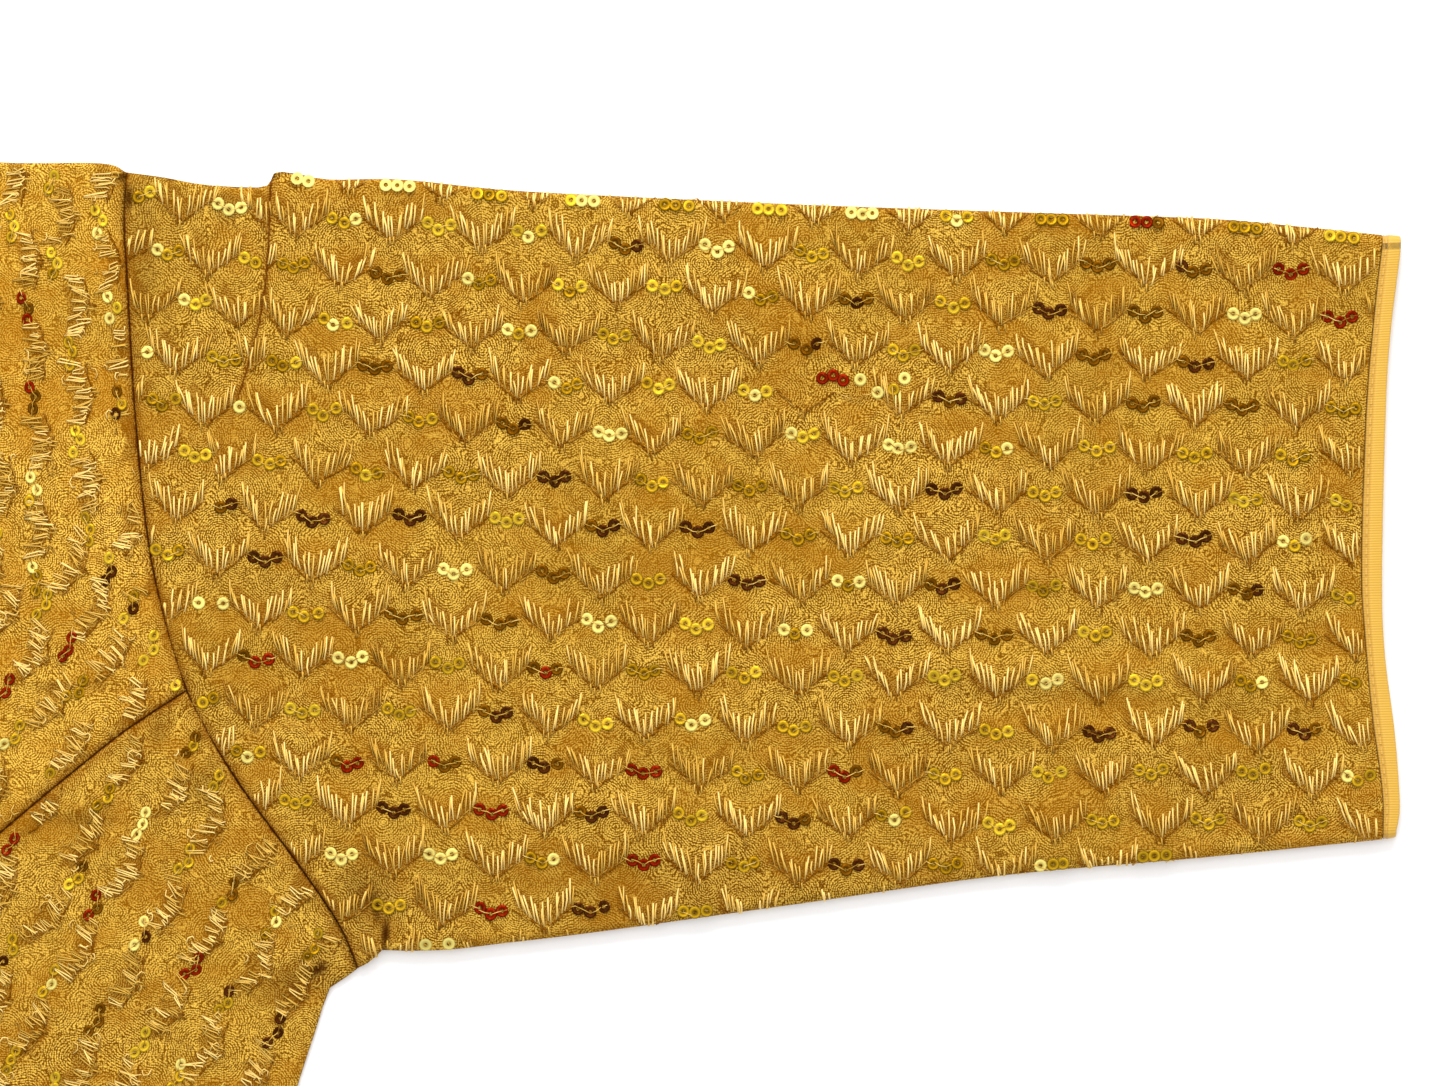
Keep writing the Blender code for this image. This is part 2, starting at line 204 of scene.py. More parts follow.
table_finish = Finish("white table", (0.93, 0.93, 0.94), {"Roughness": 0.75})
table_finish.bump(table_finish.noise(table_finish.place(), 0.9), 0.02)
table_mesh = bpy.data.meshes.new("table")
signs = ((-1, -1), (1, -1), (1, 1), (-1, 1))
corners = [(x * TABLE_HALF, y * TABLE_HALF, TABLE_LEVEL * MM) for x, y in signs]
table_mesh.from_pydata(corners, [], [(0, 1, 2, 3)])
table_mesh.materials.append(table_finish.material)
linked("table", table_mesh)

soft_light("light beyond the shoulders", (0.2, 1.5, 1.1), 1.0, 31.0)
soft_light("light overhead", (0.25, 0.35, 2.4), 2.0, 26.0)
world = bpy.data.worlds.new("studio")
world.use_nodes = True
world.node_tree.nodes["Background"].inputs["Color"].default_value = (1.0, 1.0, 1.0, 1)
world.node_tree.nodes["Background"].inputs["Strength"].default_value = 0.72
bpy.context.scene.world = world
bpy.context.scene.view_settings.view_transform = "Standard"

camera_data = bpy.data.cameras.new("camera")
camera_data.sensor_width = SENSOR
camera_data.lens = SENSOR * VIEW_HEIGHT / VIEW_WIDTH
camera = linked("camera", camera_data)
camera.location = (VIEW_CENTRE[0] * MM, VIEW_CENTRE[1] * MM, VIEW_HEIGHT * MM)
bpy.context.scene.camera = camera

# ------------------------------------------------------------
# The back.
# One sheet of gold georgette with its backing, flat on the table, cut to the shoulders, the armholes, the
# side seams and a rounded neckline. The georgette is crimped in fine waves and embroidered all over.

HEM_DOWN = 360.0
BACK_TOP = 1.2
BACK_WALL = 0.9
BACK_GRID = (200, 360, 5.0)  # half its width, its length, and the step of its mesh
EDGE_DROP = 0.35  # how far the back's upper face drops along its edges
EDGE_ROLL = 0.5  # over about which width
REPEAT = 22.5  # from one embroidered V to the next along a row
ROW = 11.4  # from row to row
CRIMP = 0.57  # from wave to wave of the georgette
GRAIN_SCALE = 1.9  # grains to a millimetre
WHORL_SCALE = 0.085  # whorls of the waves, for each millimetre
MISSING_V = (1.5, 3)  # on the left sleeve, in its map
SHOWN_SEAM = 5.0  # how far from a seam the cloth's map still counts

# Painted shade where the cloth folds in on itself, in its creases and under its folds: across, down, half
# width, half height, slant, depth.
HOLLOWS = (
    (251.2, 184.8, 1.3, 4.4, 0.2, 1.0), (248.9, 178.4, 1.3, 4.2, -0.5, 0.75), (247, 176, 8, 12, -0.3, 0.4),
    (235.0, 193.3, 2.4, 2.2, 0.5, 1.0), (230, 196, 9, 7, 0.6, 0.45), (189.8, 8.6, 1.4, 3.4, 0.0, 0.9),
    (188.0, 3.4, 1.6, 1.6, 0.5, 0.9), (193.5, 22, 4, 16, 0.0, 0.3), (205, 3.5, 14, 1.1, 0.1, 0.6),
    (330, 172, 130, 14, 0.0, 0.14), (208, 149, 6, 7, 0.2, 0.34), (175, 125.5, 13, 1.8, 0.0, 0.34),
    (197, 136, 3, 5, 0.3, 0.34), (179, 157, 9, 3, 0.0, 0.38), (213, 10.5, 3.5, 5, 0.0, 0.38),
)


def smoothstep(x):
    """0 below 0 and 1 above 1, by 3x^2 - 2x^3 between."""
    x = np.clip(x, 0, 1)
    return x * x * (3 - 2 * x)


def size_of(vectors):
    """The length of each vector."""
    return np.hypot(vectors[..., 0], vectors[..., 1])


class Line:
    """A Catmull-Rom curve through a few spots, called with shares of its length from 0 to 1."""

    def __init__(self, *spots, steps=10):
        points = np.array(spots, float)
        ends = np.vstack([2 * points[0] - points[1], points, 2 * points[-1] - points[-2]])
        t = np.linspace(0, 1, steps, endpoint=False)[None, :, None]
        before, start, end, after = (ends[k : len(ends) - 3 + k, None] for k in range(4))
        runs = (
            start
            + 0.5 * t * (end - before)
            + t**2 * (before - 2.5 * start + 2 * end - 0.5 * after)
            + 0.5 * t**3 * (3 * start - 3 * end + after - before)
        )
        self.line = np.vstack([runs.reshape(-1, 2), points[-1:]])
        step_lengths = size_of(np.diff(self.line, axis=0))
        self.length = step_lengths.sum()
        self.along = np.concatenate([[0], np.cumsum(step_lengths)]) / self.length

    def __call__(self, share):
        return np.stack([np.interp(share, self.along, self.line[:, k]) for k in (0, 1)], -1)

    def distance(self, spots):
        """The least distance from each spot to any straight step of the line."""
        least = np.full(spots.shape[:-1], np.inf)
        for start, end in zip(self.line, self.line[1:]):
            run = end - start
            share = np.clip((spots - start) @ run / (run @ run), 0, 1)
            least = np.minimum(least, size_of(spots - start - share[..., None] * run))
        return least


def nearest(lines, spots):
    """The distance from each spot to the nearest of the lines."""
    return np.minimum.reduce([line.distance(spots) for line in lines])


def reverse(line):
    """The same line, run from its other end."""
    return lambda share: line(1 - np.asarray(share))


def joined(first, second, change):
    """One line up to the share `change`, and another from there."""

    def both(share):
        share = np.asarray(share, float)
        early = first(np.clip(share / change, 0, 1))
        late = second(np.clip((share - change) / (1 - change), 0, 1))
        return np.where((share <= change)[..., None], early, late)

    return both


def patch(left, right, bottom, top, u, v):
    """Coons patch: the blend of the two sides, plus that of the two ends, less that of the four corners."""
    u, v = np.broadcast_arrays(u, v)
    su, sv = u[..., None], v[..., None]
    low, high = ((1 - su) * left(end) + su * right(end) for end in (0.0, 1.0))
    sides = (1 - su) * left(v) + su * right(v)
    return sides + (1 - sv) * (bottom(u) - low) + sv * (top(u) - high)


def shares(length, step, close=(0.25, 0.6, 1.1, 1.8, 2.8), start=True, corners=()):
    """Shares of a length: close together at its ends, a step apart between, and one at each given corner."""
    near = np.array([0, *close]) if start else np.array([0.0])
    far = np.array([0, *close])
    middle = np.linspace(near[-1], length - far[-1], max(int((length - near[-1] - far[-1]) / step), 2) + 1)
    places = [near[:-1], middle, length - far[-2::-1], np.array(corners) * length]
    return np.sort(np.concatenate(places)) / length


def grid_faces(rows, columns, round_rows=False, round_columns=False):
    """The quads of a grid of points numbered along each row. It may close, from the last to the first."""
    row, column = np.arange(rows - 1 + round_rows)[:, None], np.arange(columns - 1 + round_columns)
    next_row, next_column = (row + 1) % rows, (column + 1) % columns
    ways = ((row, column), (row, next_column), (next_row, next_column), (next_row, column))
    return np.stack([way[0] * columns + way[1] for way in ways], -1).reshape(-1, 4)


def raised(spots, height):
    """Spots and their heights as points."""
    return np.concatenate([spots, height[..., None]], -1)


def outline_of(*lines):
    """A closed outline through the given lines, one after the other."""
    return np.vstack([line(np.linspace(0, 1, 60)) for line in lines])


def piece_of(
    name, points, faces, side, *finishes, slot="embroidered_georgette", wall=0, maps=None, values=None
):
    """A piece from table points (across, down, height). On the other side it is mirrored, its faces turned.

    With a wall it is a sheet that thick, inwards, with the last finish inside, and it takes the place of the
    solid whose name its own begins with. `maps` hold a pair for each point, and `values` a number.
    """
    across, down, height = np.moveaxis(points.reshape(-1, 3), -1, 0)
    vertices = np.stack([side * across, SHOULDER_TIP_Y - down, height], -1) * MM
    mesh = bpy.data.meshes.new(name)
    mesh.from_pydata(vertices.tolist(), [], (faces if side > 0 else faces[:, ::-1]).tolist())
    mesh.shade_smooth()
    corners = np.empty(len(mesh.loops), int)
    mesh.loops.foreach_get("vertex_index", corners)
    for key, pairs in (maps or {}).items():
        at_corners = pairs.reshape(-1, 2)[corners].astype(np.float32)
        mesh.uv_layers.new(name=key).uv.foreach_set("vector", at_corners.ravel())
    for key, numbers in (values or {}).items():
        attribute = mesh.attributes.new(key, "FLOAT", "POINT")
        attribute.data.foreach_set("value", numbers.astype(np.float32).ravel())
    for finish in finishes:
        mesh.materials.append(finish)
    piece = linked(name, mesh)
    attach(piece, "root")
    if wall:
        thickness = piece.modifiers.new("wall", "SOLIDIFY")
        thickness.thickness, thickness.offset, thickness.material_offset = wall * MM, -1, len(finishes) - 1
        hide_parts(name.rsplit("_", 1)[0])
    return piece


def georgette(name, pale=1.0, arms=(6.2, 0.8, 4.8), drawn=False, tucked=False):
    """Crimped georgette, with painted shade under its stitches; `pale` scales all its colours as painted
    light. Its map counts repeats along a row and rows.

    `arms` are half the width of a V, the slope of its arms and the length of its stitches. With `drawn` the
    stitches are drawn too, and with `tucked` there is the line of the tuck, and one V is missing.
    """
    trough_gold, burnt_gold = (0.125 * pale, 0.039 * pale, 0), (0.30 * pale, 0.103 * pale, 0.001)
    mid_gold = (0.37 * pale, 0.185 * pale, 0.010 * pale)
    light_gold = (0.78 * pale, 0.482 * pale, 0.072 * pale)
    sheen = {"Sheen Weight": 0.03, "Sheen Tint": (1.0, 0.65, 0.1, 1)}
    finish = Finish(name, trough_gold, {"Roughness": 0.6, "Specular IOR Level": 0.0, **sheen})
    place = finish.place()
    along, down = finish.split(finish.uv("repeat"))

    # Where a spot is in its V: across the V, and above the edge of its arms.
    row = finish.math("CEIL", down)
    shifted = along - 0.5 * finish.math("FLOORED_MODULO", row, 2.0)
    across_v = (shifted - finish.math("ROUND", shifted)) * REPEAT
    half_width, slope_of_arms, reach = arms
    over_edge = (row - down) * ROW - abs(across_v) * slope_of_arms
    in_arms = abs(across_v).fall(half_width - 0.5, half_width + 1.0)
    if tucked:
        in_arms = in_arms * (1 - (abs(along - MISSING_V[0]) < 0.5) * (abs(row - MISSING_V[1]) < 0.5))
    shadow_below_arms = over_edge.rise(-2.2, -0.4) * over_edge.fall(-0.1, 0.9) * in_arms
    on_stitches = over_edge.rise(-0.3, 0.5) * over_edge.fall(reach - 0.9, reach + 0.4) * in_arms

    # Crimp: grains half a millimetre apart, in waves that ring round scattered spots as a fingerprint's do.
    flat = {"voronoi_dimensions": "2D"}
    whorl = {"Vector": place, "Scale": WHORL_SCALE, "Smoothness": 0.35}
    ring = finish.output(finish.node("TexVoronoi", {"feature": "SMOOTH_F1", **flat}, whorl)) / WHORL_SCALE
    crimp = ((ring + finish.noise(place, 0.16) * 2.6) * (2 * np.pi / CRIMP)).wave()
    cells = {"Vector": place, "Scale": GRAIN_SCALE, "Randomness": 0.75}
    grain = finish.output(finish.node("TexVoronoi", flat, cells)).fall(0.1, 0.62)
    uneven = finish.noise(place, 0.5) - 0.5
    finish.paint((crimp * 0.44 + grain * 0.52 + uneven * 0.6).rise(0.12, 0.88), light_gold)

    # Worn, stained and shaded patches, wider along the rows than across them.
    finish.paint(finish.noise(place, (0.02, 0.028, 0.028)).rise(0.3, 0.7) * 0.25, mid_gold)
    finish.paint(finish.noise(place, (0.028, 0.04, 0.04), 3.0).rise(0.4, 0.72) * 0.22, (0.16, 0.062, 0.001))
    finish.paint(finish.noise(place, (0.06, 0.09, 0.09), 3.0).rise(0.44, 0.66) * 0.48, burnt_gold)
    # Painted shadow below the arms of each V, and painted shade on the cloth under its stitches.
    finish.paint(shadow_below_arms * 0.22, (0.22, 0.062, 0.001))
    finish.paint(on_stitches * (0.3 if drawn else 0.5), (0.17, 0.052, 0))
    height = crimp * 0.3 + grain * 0.6
    if drawn:
        lean = across_v - over_edge * 0.16 * finish.math("SIGN", across_v)
        stitch = (lean * (2 * np.pi / 0.92)).wave().rise(0.35, 0.75) * on_stitches
        finish.paint(stitch * 0.85, (0.85, 0.62, 0.22))
        height = height + stitch

    # The seams: painted shade beside each, and its dark line. The tuck: painted shade along its step and on
    # its line. The hollows: painted shade.
    seam = finish.attribute("seam") + (finish.noise(place, 0.9) - 0.5) * 0.9
    finish.paint(seam.fall(0.5, 3.4) * 0.42, (0.17, 0.048, 0.001))
    finish.paint(seam.fall(0.1, 0.5) * 0.93, (0.10, 0.018, 0.001))
    if tucked:
        beyond, faded = finish.split(finish.uv("tuck"))
        off_tuck = abs(beyond + uneven * 0.7) + faded
        finish.paint(off_tuck.fall(0.2, 2.0) * 0.4, (0.17, 0.048, 0.001))
        finish.paint(off_tuck.fall(0.12, 0.4) * 0.85, (0.10, 0.022, 0.001))
    x, y = finish.split(place)
    # Painted shade in each hollow.
    for across, below, half_across, half_down, slant, depth in HOLLOWS:
        up = (y - (SHOULDER_TIP_Y - below)) / half_down
        aside = (abs(x) - across) / half_across - up * slant
        away = finish.math("SQRT", aside * aside + up * up)
        finish.paint(away.fall(0.1, 1.4) * depth, (0.05, 0.013, 0.001))
    finish.bump(height, 0.18)
    return finish.material


flat_georgette = georgette("gold georgette with its stitches drawn", drawn=True)

BACK_NECK = Line((0, 92), (16, 91.6), (34, 88.5), (60, 79), (84, 62), (100, 40), (109, 15), (112, -5))
SHOULDER = Line((112, -5), (135, -2), (160, 0), (183, 0.2), (189.1, 2.4))
ARMHOLE = Line(
    (189.1, 2.4), (188.6, 14), (189.3, 28), (191.5, 64), (195.5, 97.4), (203.5, 126.5), (215, 147.1),
    (230.4, 168.3), (240, 182.4), (244.6, 193),
)
SIDE = Line(
    (204, 355), (205, 340), (209, 310), (215, 278), (222, 248), (229.7, 222), (234, 208.8), (237.6, 198),
    (241.2, 195.6), (244.6, 193),
)
CENTRE_BACK = Line((0, HEM_DOWN), (0, 220), (0, 92))
BACK_HEM = Line((0, HEM_DOWN), (92, HEM_DOWN), (150, 358.5), (204, 355))
BACK_NECK_SHARE = 16 / 26  # of its height at which the centre back ends
ARMPIT_SHARE = 11 / 26

# Half of the back between its cut lines, and its mirror image, welded to it down the centre back.
width, length, step = BACK_GRID
half = patch(
    joined(CENTRE_BACK, BACK_NECK, BACK_NECK_SHARE), joined(SIDE, reverse(ARMHOLE), ARMPIT_SHARE),
    BACK_HEM, SHOULDER, shares(width, step, start=False)[None, :],
    shares(length, step, corners=(BACK_NECK_SHARE, ARMPIT_SHARE))[:, None],
)
to_edge = np.minimum(nearest((SIDE, ARMHOLE, SHOULDER, BACK_HEM), half), SHOWN_SEAM)
points = raised(half, BACK_TOP - EDGE_DROP * np.exp(-((to_edge / EDGE_ROLL) ** 2))).reshape(-1, 3)
faces = grid_faces(*half.shape[:2])
faces = np.vstack([faces, faces[:, ::-1] + len(points)])
points = np.vstack([points, points * (-1, 1, 1)])
_, first, where = np.unique(np.round(points, 4), axis=0, return_index=True, return_inverse=True)
points = points[first]
back_cloth = piece_of(
    "back_cloth", points, where.ravel()[faces], 1, flat_georgette, wall=BACK_WALL,
    maps={"repeat": points[:, :2] / (REPEAT, ROW)}, values={"seam": np.tile(to_edge.ravel(), 2)[first] + 1.0},
)

# ------------------------------------------------------------
# The fronts.
# Each front is a centre panel and a side panel of the same georgette, joined by a seam that runs from the
# hem to the armhole. They lie on the back, a little lofted, and the right front laps over the left.

SIDES = (("left", 1, False), ("right", -1, True))  # the wearer's side, its sign across, whether it laps over
LAP = 10.0
FRONT_EDGE_TOP = 2.7  # upper face of the front along its side, shoulder and hem
FRONT_LOFT = 1.9
FRONT_SLOPE = 30.0  # over which it rises by that
LAP_TOP = 5.3  # upper face of the lapping front, over the hooks
CLOTH_WALL = 0.7
SEAM_CLEAR = 0.06
SEAM_DEPTH = 1.0
SEAM_ROLL = 0.7  # how far from its seam line a panel's edge has risen by about two thirds
CENTRE_GRID = (190, 360, 3.0)  # width, length and step
SIDE_GRID = (110, 190, 2.5)
DRAWN_TOGETHER = (5.6, 0.3, 3.8)  # the arms of the V's on the fronts

FRONT_NECK = Line(
    (-LAP, 160.7), (0, 161), (24, 158.5), (48, 148), (72, 127), (90, 96), (101, 60), (108, 25), (112, -5)
)
UPPER_ARMHOLE = Line((189.1, 2.4), (188.6, 14), (189.3, 28), (191.5, 64), (195.5, 97.4), (203.5, 126.5))
LOWER_ARMHOLE = Line((203.5, 126.5), (215, 147.1), (230.4, 168.3), (240, 182.4), (244.6, 193))
PRINCESS = Line(
    (92, HEM_DOWN), (92, 310), (94, 275), (99, 246), (108, 220), (122, 197), (140, 177.5), (158.4, 161),
    (185.7, 138.5), (203.5, 126.5),
)
LAP_EDGE = Line((-LAP, HEM_DOWN), (-LAP, 260), (-LAP, 160.7))
FRONT_HEM = Line((-LAP, HEM_DOWN), (40, HEM_DOWN), (92, HEM_DOWN))
SIDE_HEM = Line((92, HEM_DOWN), (150, 358.5), (204, 355))
NECK_SHARE = 12 / 26  # of the centre panel's height at which the lap edge ends
PRINCESS_SHARE = 18 / 26

# Creases: across, down, end across, end down, rise (a trough where it is below 0), half width.
FRONT_CREASES = np.array([
    (168, 62, 184, 106, -0.7, 6), (150, 40, 166, 96, 0.6, 8), (150, 205, 226, 176, 0.6, 9),
    (120, 262, 196, 244, -0.6, 10), (30, 220, 84, 262, 0.5, 12), (110, 330, 190, 312, 0.5, 11),
    (158, 58, 166, 76, -0.55, 2.6), (166, 76, 178, 94, -0.45, 2.2), (163, 118, 184, 126, -0.5, 3.0),
    (192, 172, 214, 164, -0.45, 2.6), (176, 168, 196, 158, 0.4, 4.0), (206, 232, 226, 196, -0.4, 3.5),
    (58, 176, 96, 196, -0.5, 5), (120, 60, 150, 84, 0.45, 7), (110, 120, 150, 150, -0.45, 6),
    (20, 250, 60, 300, -0.45, 7), (150, 290, 196, 282, -0.4, 6),
])


def crease_rise(creases, spots):
    """Adds up soft ridges: each rises by exp(-(distance / half width)^2), and tapers towards its ends."""
    total = np.zeros(spots.shape[:-1])
    for crease in creases:
        start, run, rise, half_width = crease[:2], crease[2:4] - crease[:2], crease[4], crease[5]
        share = np.clip((spots - start) @ run / (run @ run), 0, 1)
        off_line = size_of(spots - start - share[..., None] * run)
        total += rise * (0.35 + 0.65 * np.sin(np.pi * share)) * np.exp(-((off_line / half_width) ** 2))
    return total


def pucker(lattice):
    """The cloth drawn up by its embroidery: low along each row of tips, high between them, in millimetres."""
    along, down = lattice[..., 0] * 2 * np.pi, lattice[..., 1] * np.pi
    return 0.16 * np.cos(along) * np.cos(down) + 0.1 * np.sin(2 * down + 0.6 * np.sin(along))


def seam_roll(distance):
    """How far a panel's edge turns down to its seam, at a distance from it."""
    return SEAM_DEPTH * np.exp(-((distance / SEAM_ROLL) ** 1.6))


def front_body(spots, lapping):
    """Height of a front without its seams: low along its outer edges, and over or under at the centre."""
    rise = smoothstep(nearest((FRONT_NECK, SHOULDER, SIDE, FRONT_HEM, SIDE_HEM), spots) / FRONT_SLOPE)
    body = FRONT_EDGE_TOP + rise * (FRONT_LOFT + crease_rise(FRONT_CREASES, spots))
    across = spots[..., 0]
    if lapping:
        return body + (LAP_TOP - body) * (1 - smoothstep((across - 15) / 30))
    return FRONT_EDGE_TOP + (body - FRONT_EDGE_TOP) * smoothstep((across - 14) / 25)


def centre_rows(lattice):
    """A spot of the centre panel's embroidery: rows that run down it, and lean inwards below the bust."""
    down = 3.1 + 21.1 * lattice[..., 0]
    below = down - 90
    lean = 0.12 * (down - 13.7) - 0.35 * (np.sqrt(below**2 + 15**2) + below)
    return np.stack([187.4 + 10.4 * lattice[..., 1] + lean, down], -1)


def side_rows(lattice):
    """A spot of the side panel's embroidery: rows on the slant, up and outwards."""
    return (203, 152) + lattice[..., :1] * (10.8, -18.8) + lattice[..., 1:] * (15.4, -1.9)


def lattice_at(rows, spots):
    """The lattice place of each spot: `rows` turned round, by a few steps of Newton's method."""
    lattice = np.zeros(spots.shape)
    small = 0.01
    for _ in range(8):
        here = rows(lattice)
        by_a = (rows(lattice + (small, 0)) - here) / small
        by_b = (rows(lattice + (0, small)) - here) / small
        off = spots - here
        area = by_a[..., 0] * by_b[..., 1] - by_a[..., 1] * by_b[..., 0]
        step_a = (off[..., 0] * by_b[..., 1] - off[..., 1] * by_b[..., 0]) / area
        step_b = (by_a[..., 0] * off[..., 1] - by_a[..., 1] * off[..., 0]) / area
        lattice = lattice + np.stack([step_a, step_b], -1)
    return lattice


def front_height(spots, rows, seams, lapping):
    """Height of a front's upper face, and its distance from the nearest seam."""
    to_seam, to_edge = nearest(seams, spots), nearest((SHOULDER, SIDE), spots)
    height = front_body(spots, lapping) + pucker(lattice_at(rows, spots)) * smoothstep(to_edge / 6)
    return height - (seam_roll(to_seam) + np.exp(-((to_edge / 0.8) ** 2))), to_seam


def front_top(rows, seams, lapping):
    """The height of one panel's upper face, as a function of spots."""
    return lambda spots: front_height(spots, rows, seams, lapping)[0]


def panel(grid, inner, outer, hem, top, corners=(), short=0.0):
    """A panel's spots between its cut lines, drawn in from its two sides and, by a share, from its top."""
    width, length, step = grid
    u, v = shares(width, step), shares(length, step, corners=corners)
    margin = SEAM_CLEAR / np.maximum(size_of(outer(v) - inner(v)), 1.0)[:, None]
    return patch(inner, outer, hem, top, margin + u * (1 - 2 * margin), v[:, None] * (1 - short))


# Each panel's spots, its rows of embroidery, the seams round it, and its finish.
# Both panels' georgette is made lighter by `pale`, as painted light.
FRONT_PANELS = {
    "centre": (
        panel(
            CENTRE_GRID, joined(LAP_EDGE, FRONT_NECK, NECK_SHARE),
            joined(PRINCESS, reverse(UPPER_ARMHOLE), PRINCESS_SHARE), FRONT_HEM, SHOULDER,
            corners=(NECK_SHARE, PRINCESS_SHARE),
        ),
        centre_rows, (PRINCESS, UPPER_ARMHOLE),
        georgette("embroidered gold georgette with strong painted light", pale=1.19, arms=DRAWN_TOGETHER),
    ),
    "side": (
        panel(SIDE_GRID, PRINCESS, SIDE, SIDE_HEM, LOWER_ARMHOLE, short=SEAM_CLEAR / 160),
        side_rows, (PRINCESS, LOWER_ARMHOLE),
        georgette("embroidered gold georgette with some painted light", pale=1.06, arms=DRAWN_TOGETHER),
    ),
}
for wearer_side, side, lapping in SIDES:
    for part, (spots, rows, seams, finish) in FRONT_PANELS.items():
        height, to_seam = front_height(spots, rows, seams, lapping)
        piece_of(
            f"front_{part}_{wearer_side}_cloth", raised(spots, height), grid_faces(*height.shape), side,
            finish, flat_georgette, wall=CLOTH_WALL, maps={"repeat": lattice_at(rows, spots)},
            values={"seam": np.minimum(to_seam, SHOWN_SEAM)},
        )

# ------------------------------------------------------------
# The sleeves.
# A georgette tube sewn into each armhole, pressed flat with its folds along the top and under the arm. The
# cap laps over itself in one tuck near the armhole.

SLEEVE_HEIGHT = 5.1
SLEEVE_END_HEIGHT = 4.8  # at the armhole and the cuff
SLEEVE_GRID = (290, 180, 2.8)  # length, depth and step
SLEEVE_TOP = Line(
    (189.1, 2.4), (198, 3.6), (205.2, 5), (212.4, 5.8), (219.6, 6), (223.2, 4.6), (226.8, 2.6), (231, 2.6),
    (237.6, 4.1), (254.4, 4.1), (278.4, 6.5), (302.4, 7.9), (350.4, 10.1), (398.4, 11.8), (446.4, 13.4),
    (470.4, 15.4), (489.8, 17.4),
)
SLEEVE_UNDER = Line(
    (244.6, 193), (247.7, 191.3), (250.6, 188.6), (254.4, 188.9), (266.4, 188.6), (278.4, 187.2),
    (302.4, 184.3), (350.4, 177.6), (398.4, 170.9), (446.4, 166.6), (489.8, 162.2),
)
CUFF_SEAM = Line(
    (489.8, 17.4), (487.7, 36.2), (485.8, 59), (484.6, 95.5), (485.5, 114.2), (487.2, 132.5), (489.6, 150.7),
    (489.8, 162.2),
)
TUCK = Line((223.7, 4), (222.7, 27), (219.1, 46), (211.1, 71), (209, 80))
TUCK_RISE = 0.95
TUCK_DIP = -0.35
TUCK_FADE = 12.0
TUCK_END = 92.4  # down the cap, where the tuck runs out
TUCK_TAKE = 0.19  # how much cloth it takes up, for each millimetre up from there

SLEEVE_CREASES = np.array([
    (362, 127, 486, 135.5, -1.3, 3.4), (376, 121, 480, 128, 0.7, 3.6), (372, 134.5, 480, 142, 0.45, 4.5),
    (246, 178, 254, 190, -0.9, 3.5), (251, 150, 254, 184, -0.35, 3.0), (262, 150, 330, 160, 0.5, 9),
    (300, 60, 420, 66, -0.35, 14), (390, 96, 470, 90, 0.35, 12), (222, 60, 216, 96, -0.35, 3.0),
    (200, 8, 197, 40, -0.4, 3.0), (236, 44, 300, 40, 0.25, 8), (330, 30, 350, 130, 0.2, 10),
    (430, 40, 440, 120, -0.2, 9), (205, 96, 214, 128, -0.3, 4.0),
])


def beyond_tuck(spots):
    """How far outside the tuck's line a spot is, along the sleeve."""
    return spots[..., 0] - np.interp(spots[..., 1], TUCK.line[:, 1], TUCK.line[:, 0])


def tuck_rise(spots):
    """The step where the cap laps over itself: high just outside the line, low just inside it."""
    beyond = beyond_tuck(spots)
    step = smoothstep((beyond + 0.25) / 0.5)
    above = TUCK_RISE * np.exp(-((beyond / TUCK_FADE) ** 2)) * step
    below = TUCK_DIP * np.exp(-((beyond / 6) ** 2)) * (1 - step)
    return (1 - smoothstep((spots[..., 1] - 42) / 34)) * (above + below)


def sleeve_rows(lattice):
    """A spot of the sleeve's embroidery: rows along it that fan and sink a little towards the cuff."""
    a, b = lattice[..., 0], lattice[..., 1]
    across = 319 + REPEAT * a - 0.9 * b + 0.14 * a * b + 0.08 * a**2 + 0.036 * b**2
    down = 23.8 + 1.37 * a + ROW * b - 0.067 * a * b - 0.057 * a**2
    return np.stack([across, down], -1)


def taken_up(spots):
    """How much cloth the tuck hides. The cap inside it lies that much further out than it was cut."""
    return TUCK_TAKE * np.clip(TUCK_END - spots[..., 1], 0, 90)


def sleeve_lattice(spots):
    """The place of each spot in the embroidery, on the cloth as it was cut."""
    hidden = np.where(beyond_tuck(spots) < 0, taken_up(spots), 0)
    return lattice_at(sleeve_rows, spots - hidden[..., None] * (1, 0))


def to_fold(spots):
    """How far a spot is from the nearer of the sleeve's two folds."""
    return nearest((SLEEVE_TOP, SLEEVE_UNDER), spots)


def round_fold(spots, radius):
    """How far in from its fold a spot is, up to 1 at the radius, and how far it has risen round the bend."""
    share = np.clip(to_fold(spots) / radius, 0, 1)
    return share, np.sqrt(1 - (1 - share) ** 2)


def sleeve_height(spots):
    """Height of the sleeve's upper face: flat with rounded folds, with creases, tuck, pucker and armhole."""
    to_armhole = ARMHOLE.distance(spots)
    radius = (SLEEVE_END_HEIGHT + (SLEEVE_HEIGHT - SLEEVE_END_HEIGHT) * smoothstep(to_armhole / 25)) / 2
    share, bend = round_fold(spots, radius)
    relief = crease_rise(SLEEVE_CREASES, spots) + tuck_rise(spots) + pucker(sleeve_lattice(spots))
    height = radius + bend * (radius + relief * smoothstep(to_armhole / 6) * smoothstep(share))
    return height - seam_roll(to_armhole) * bend


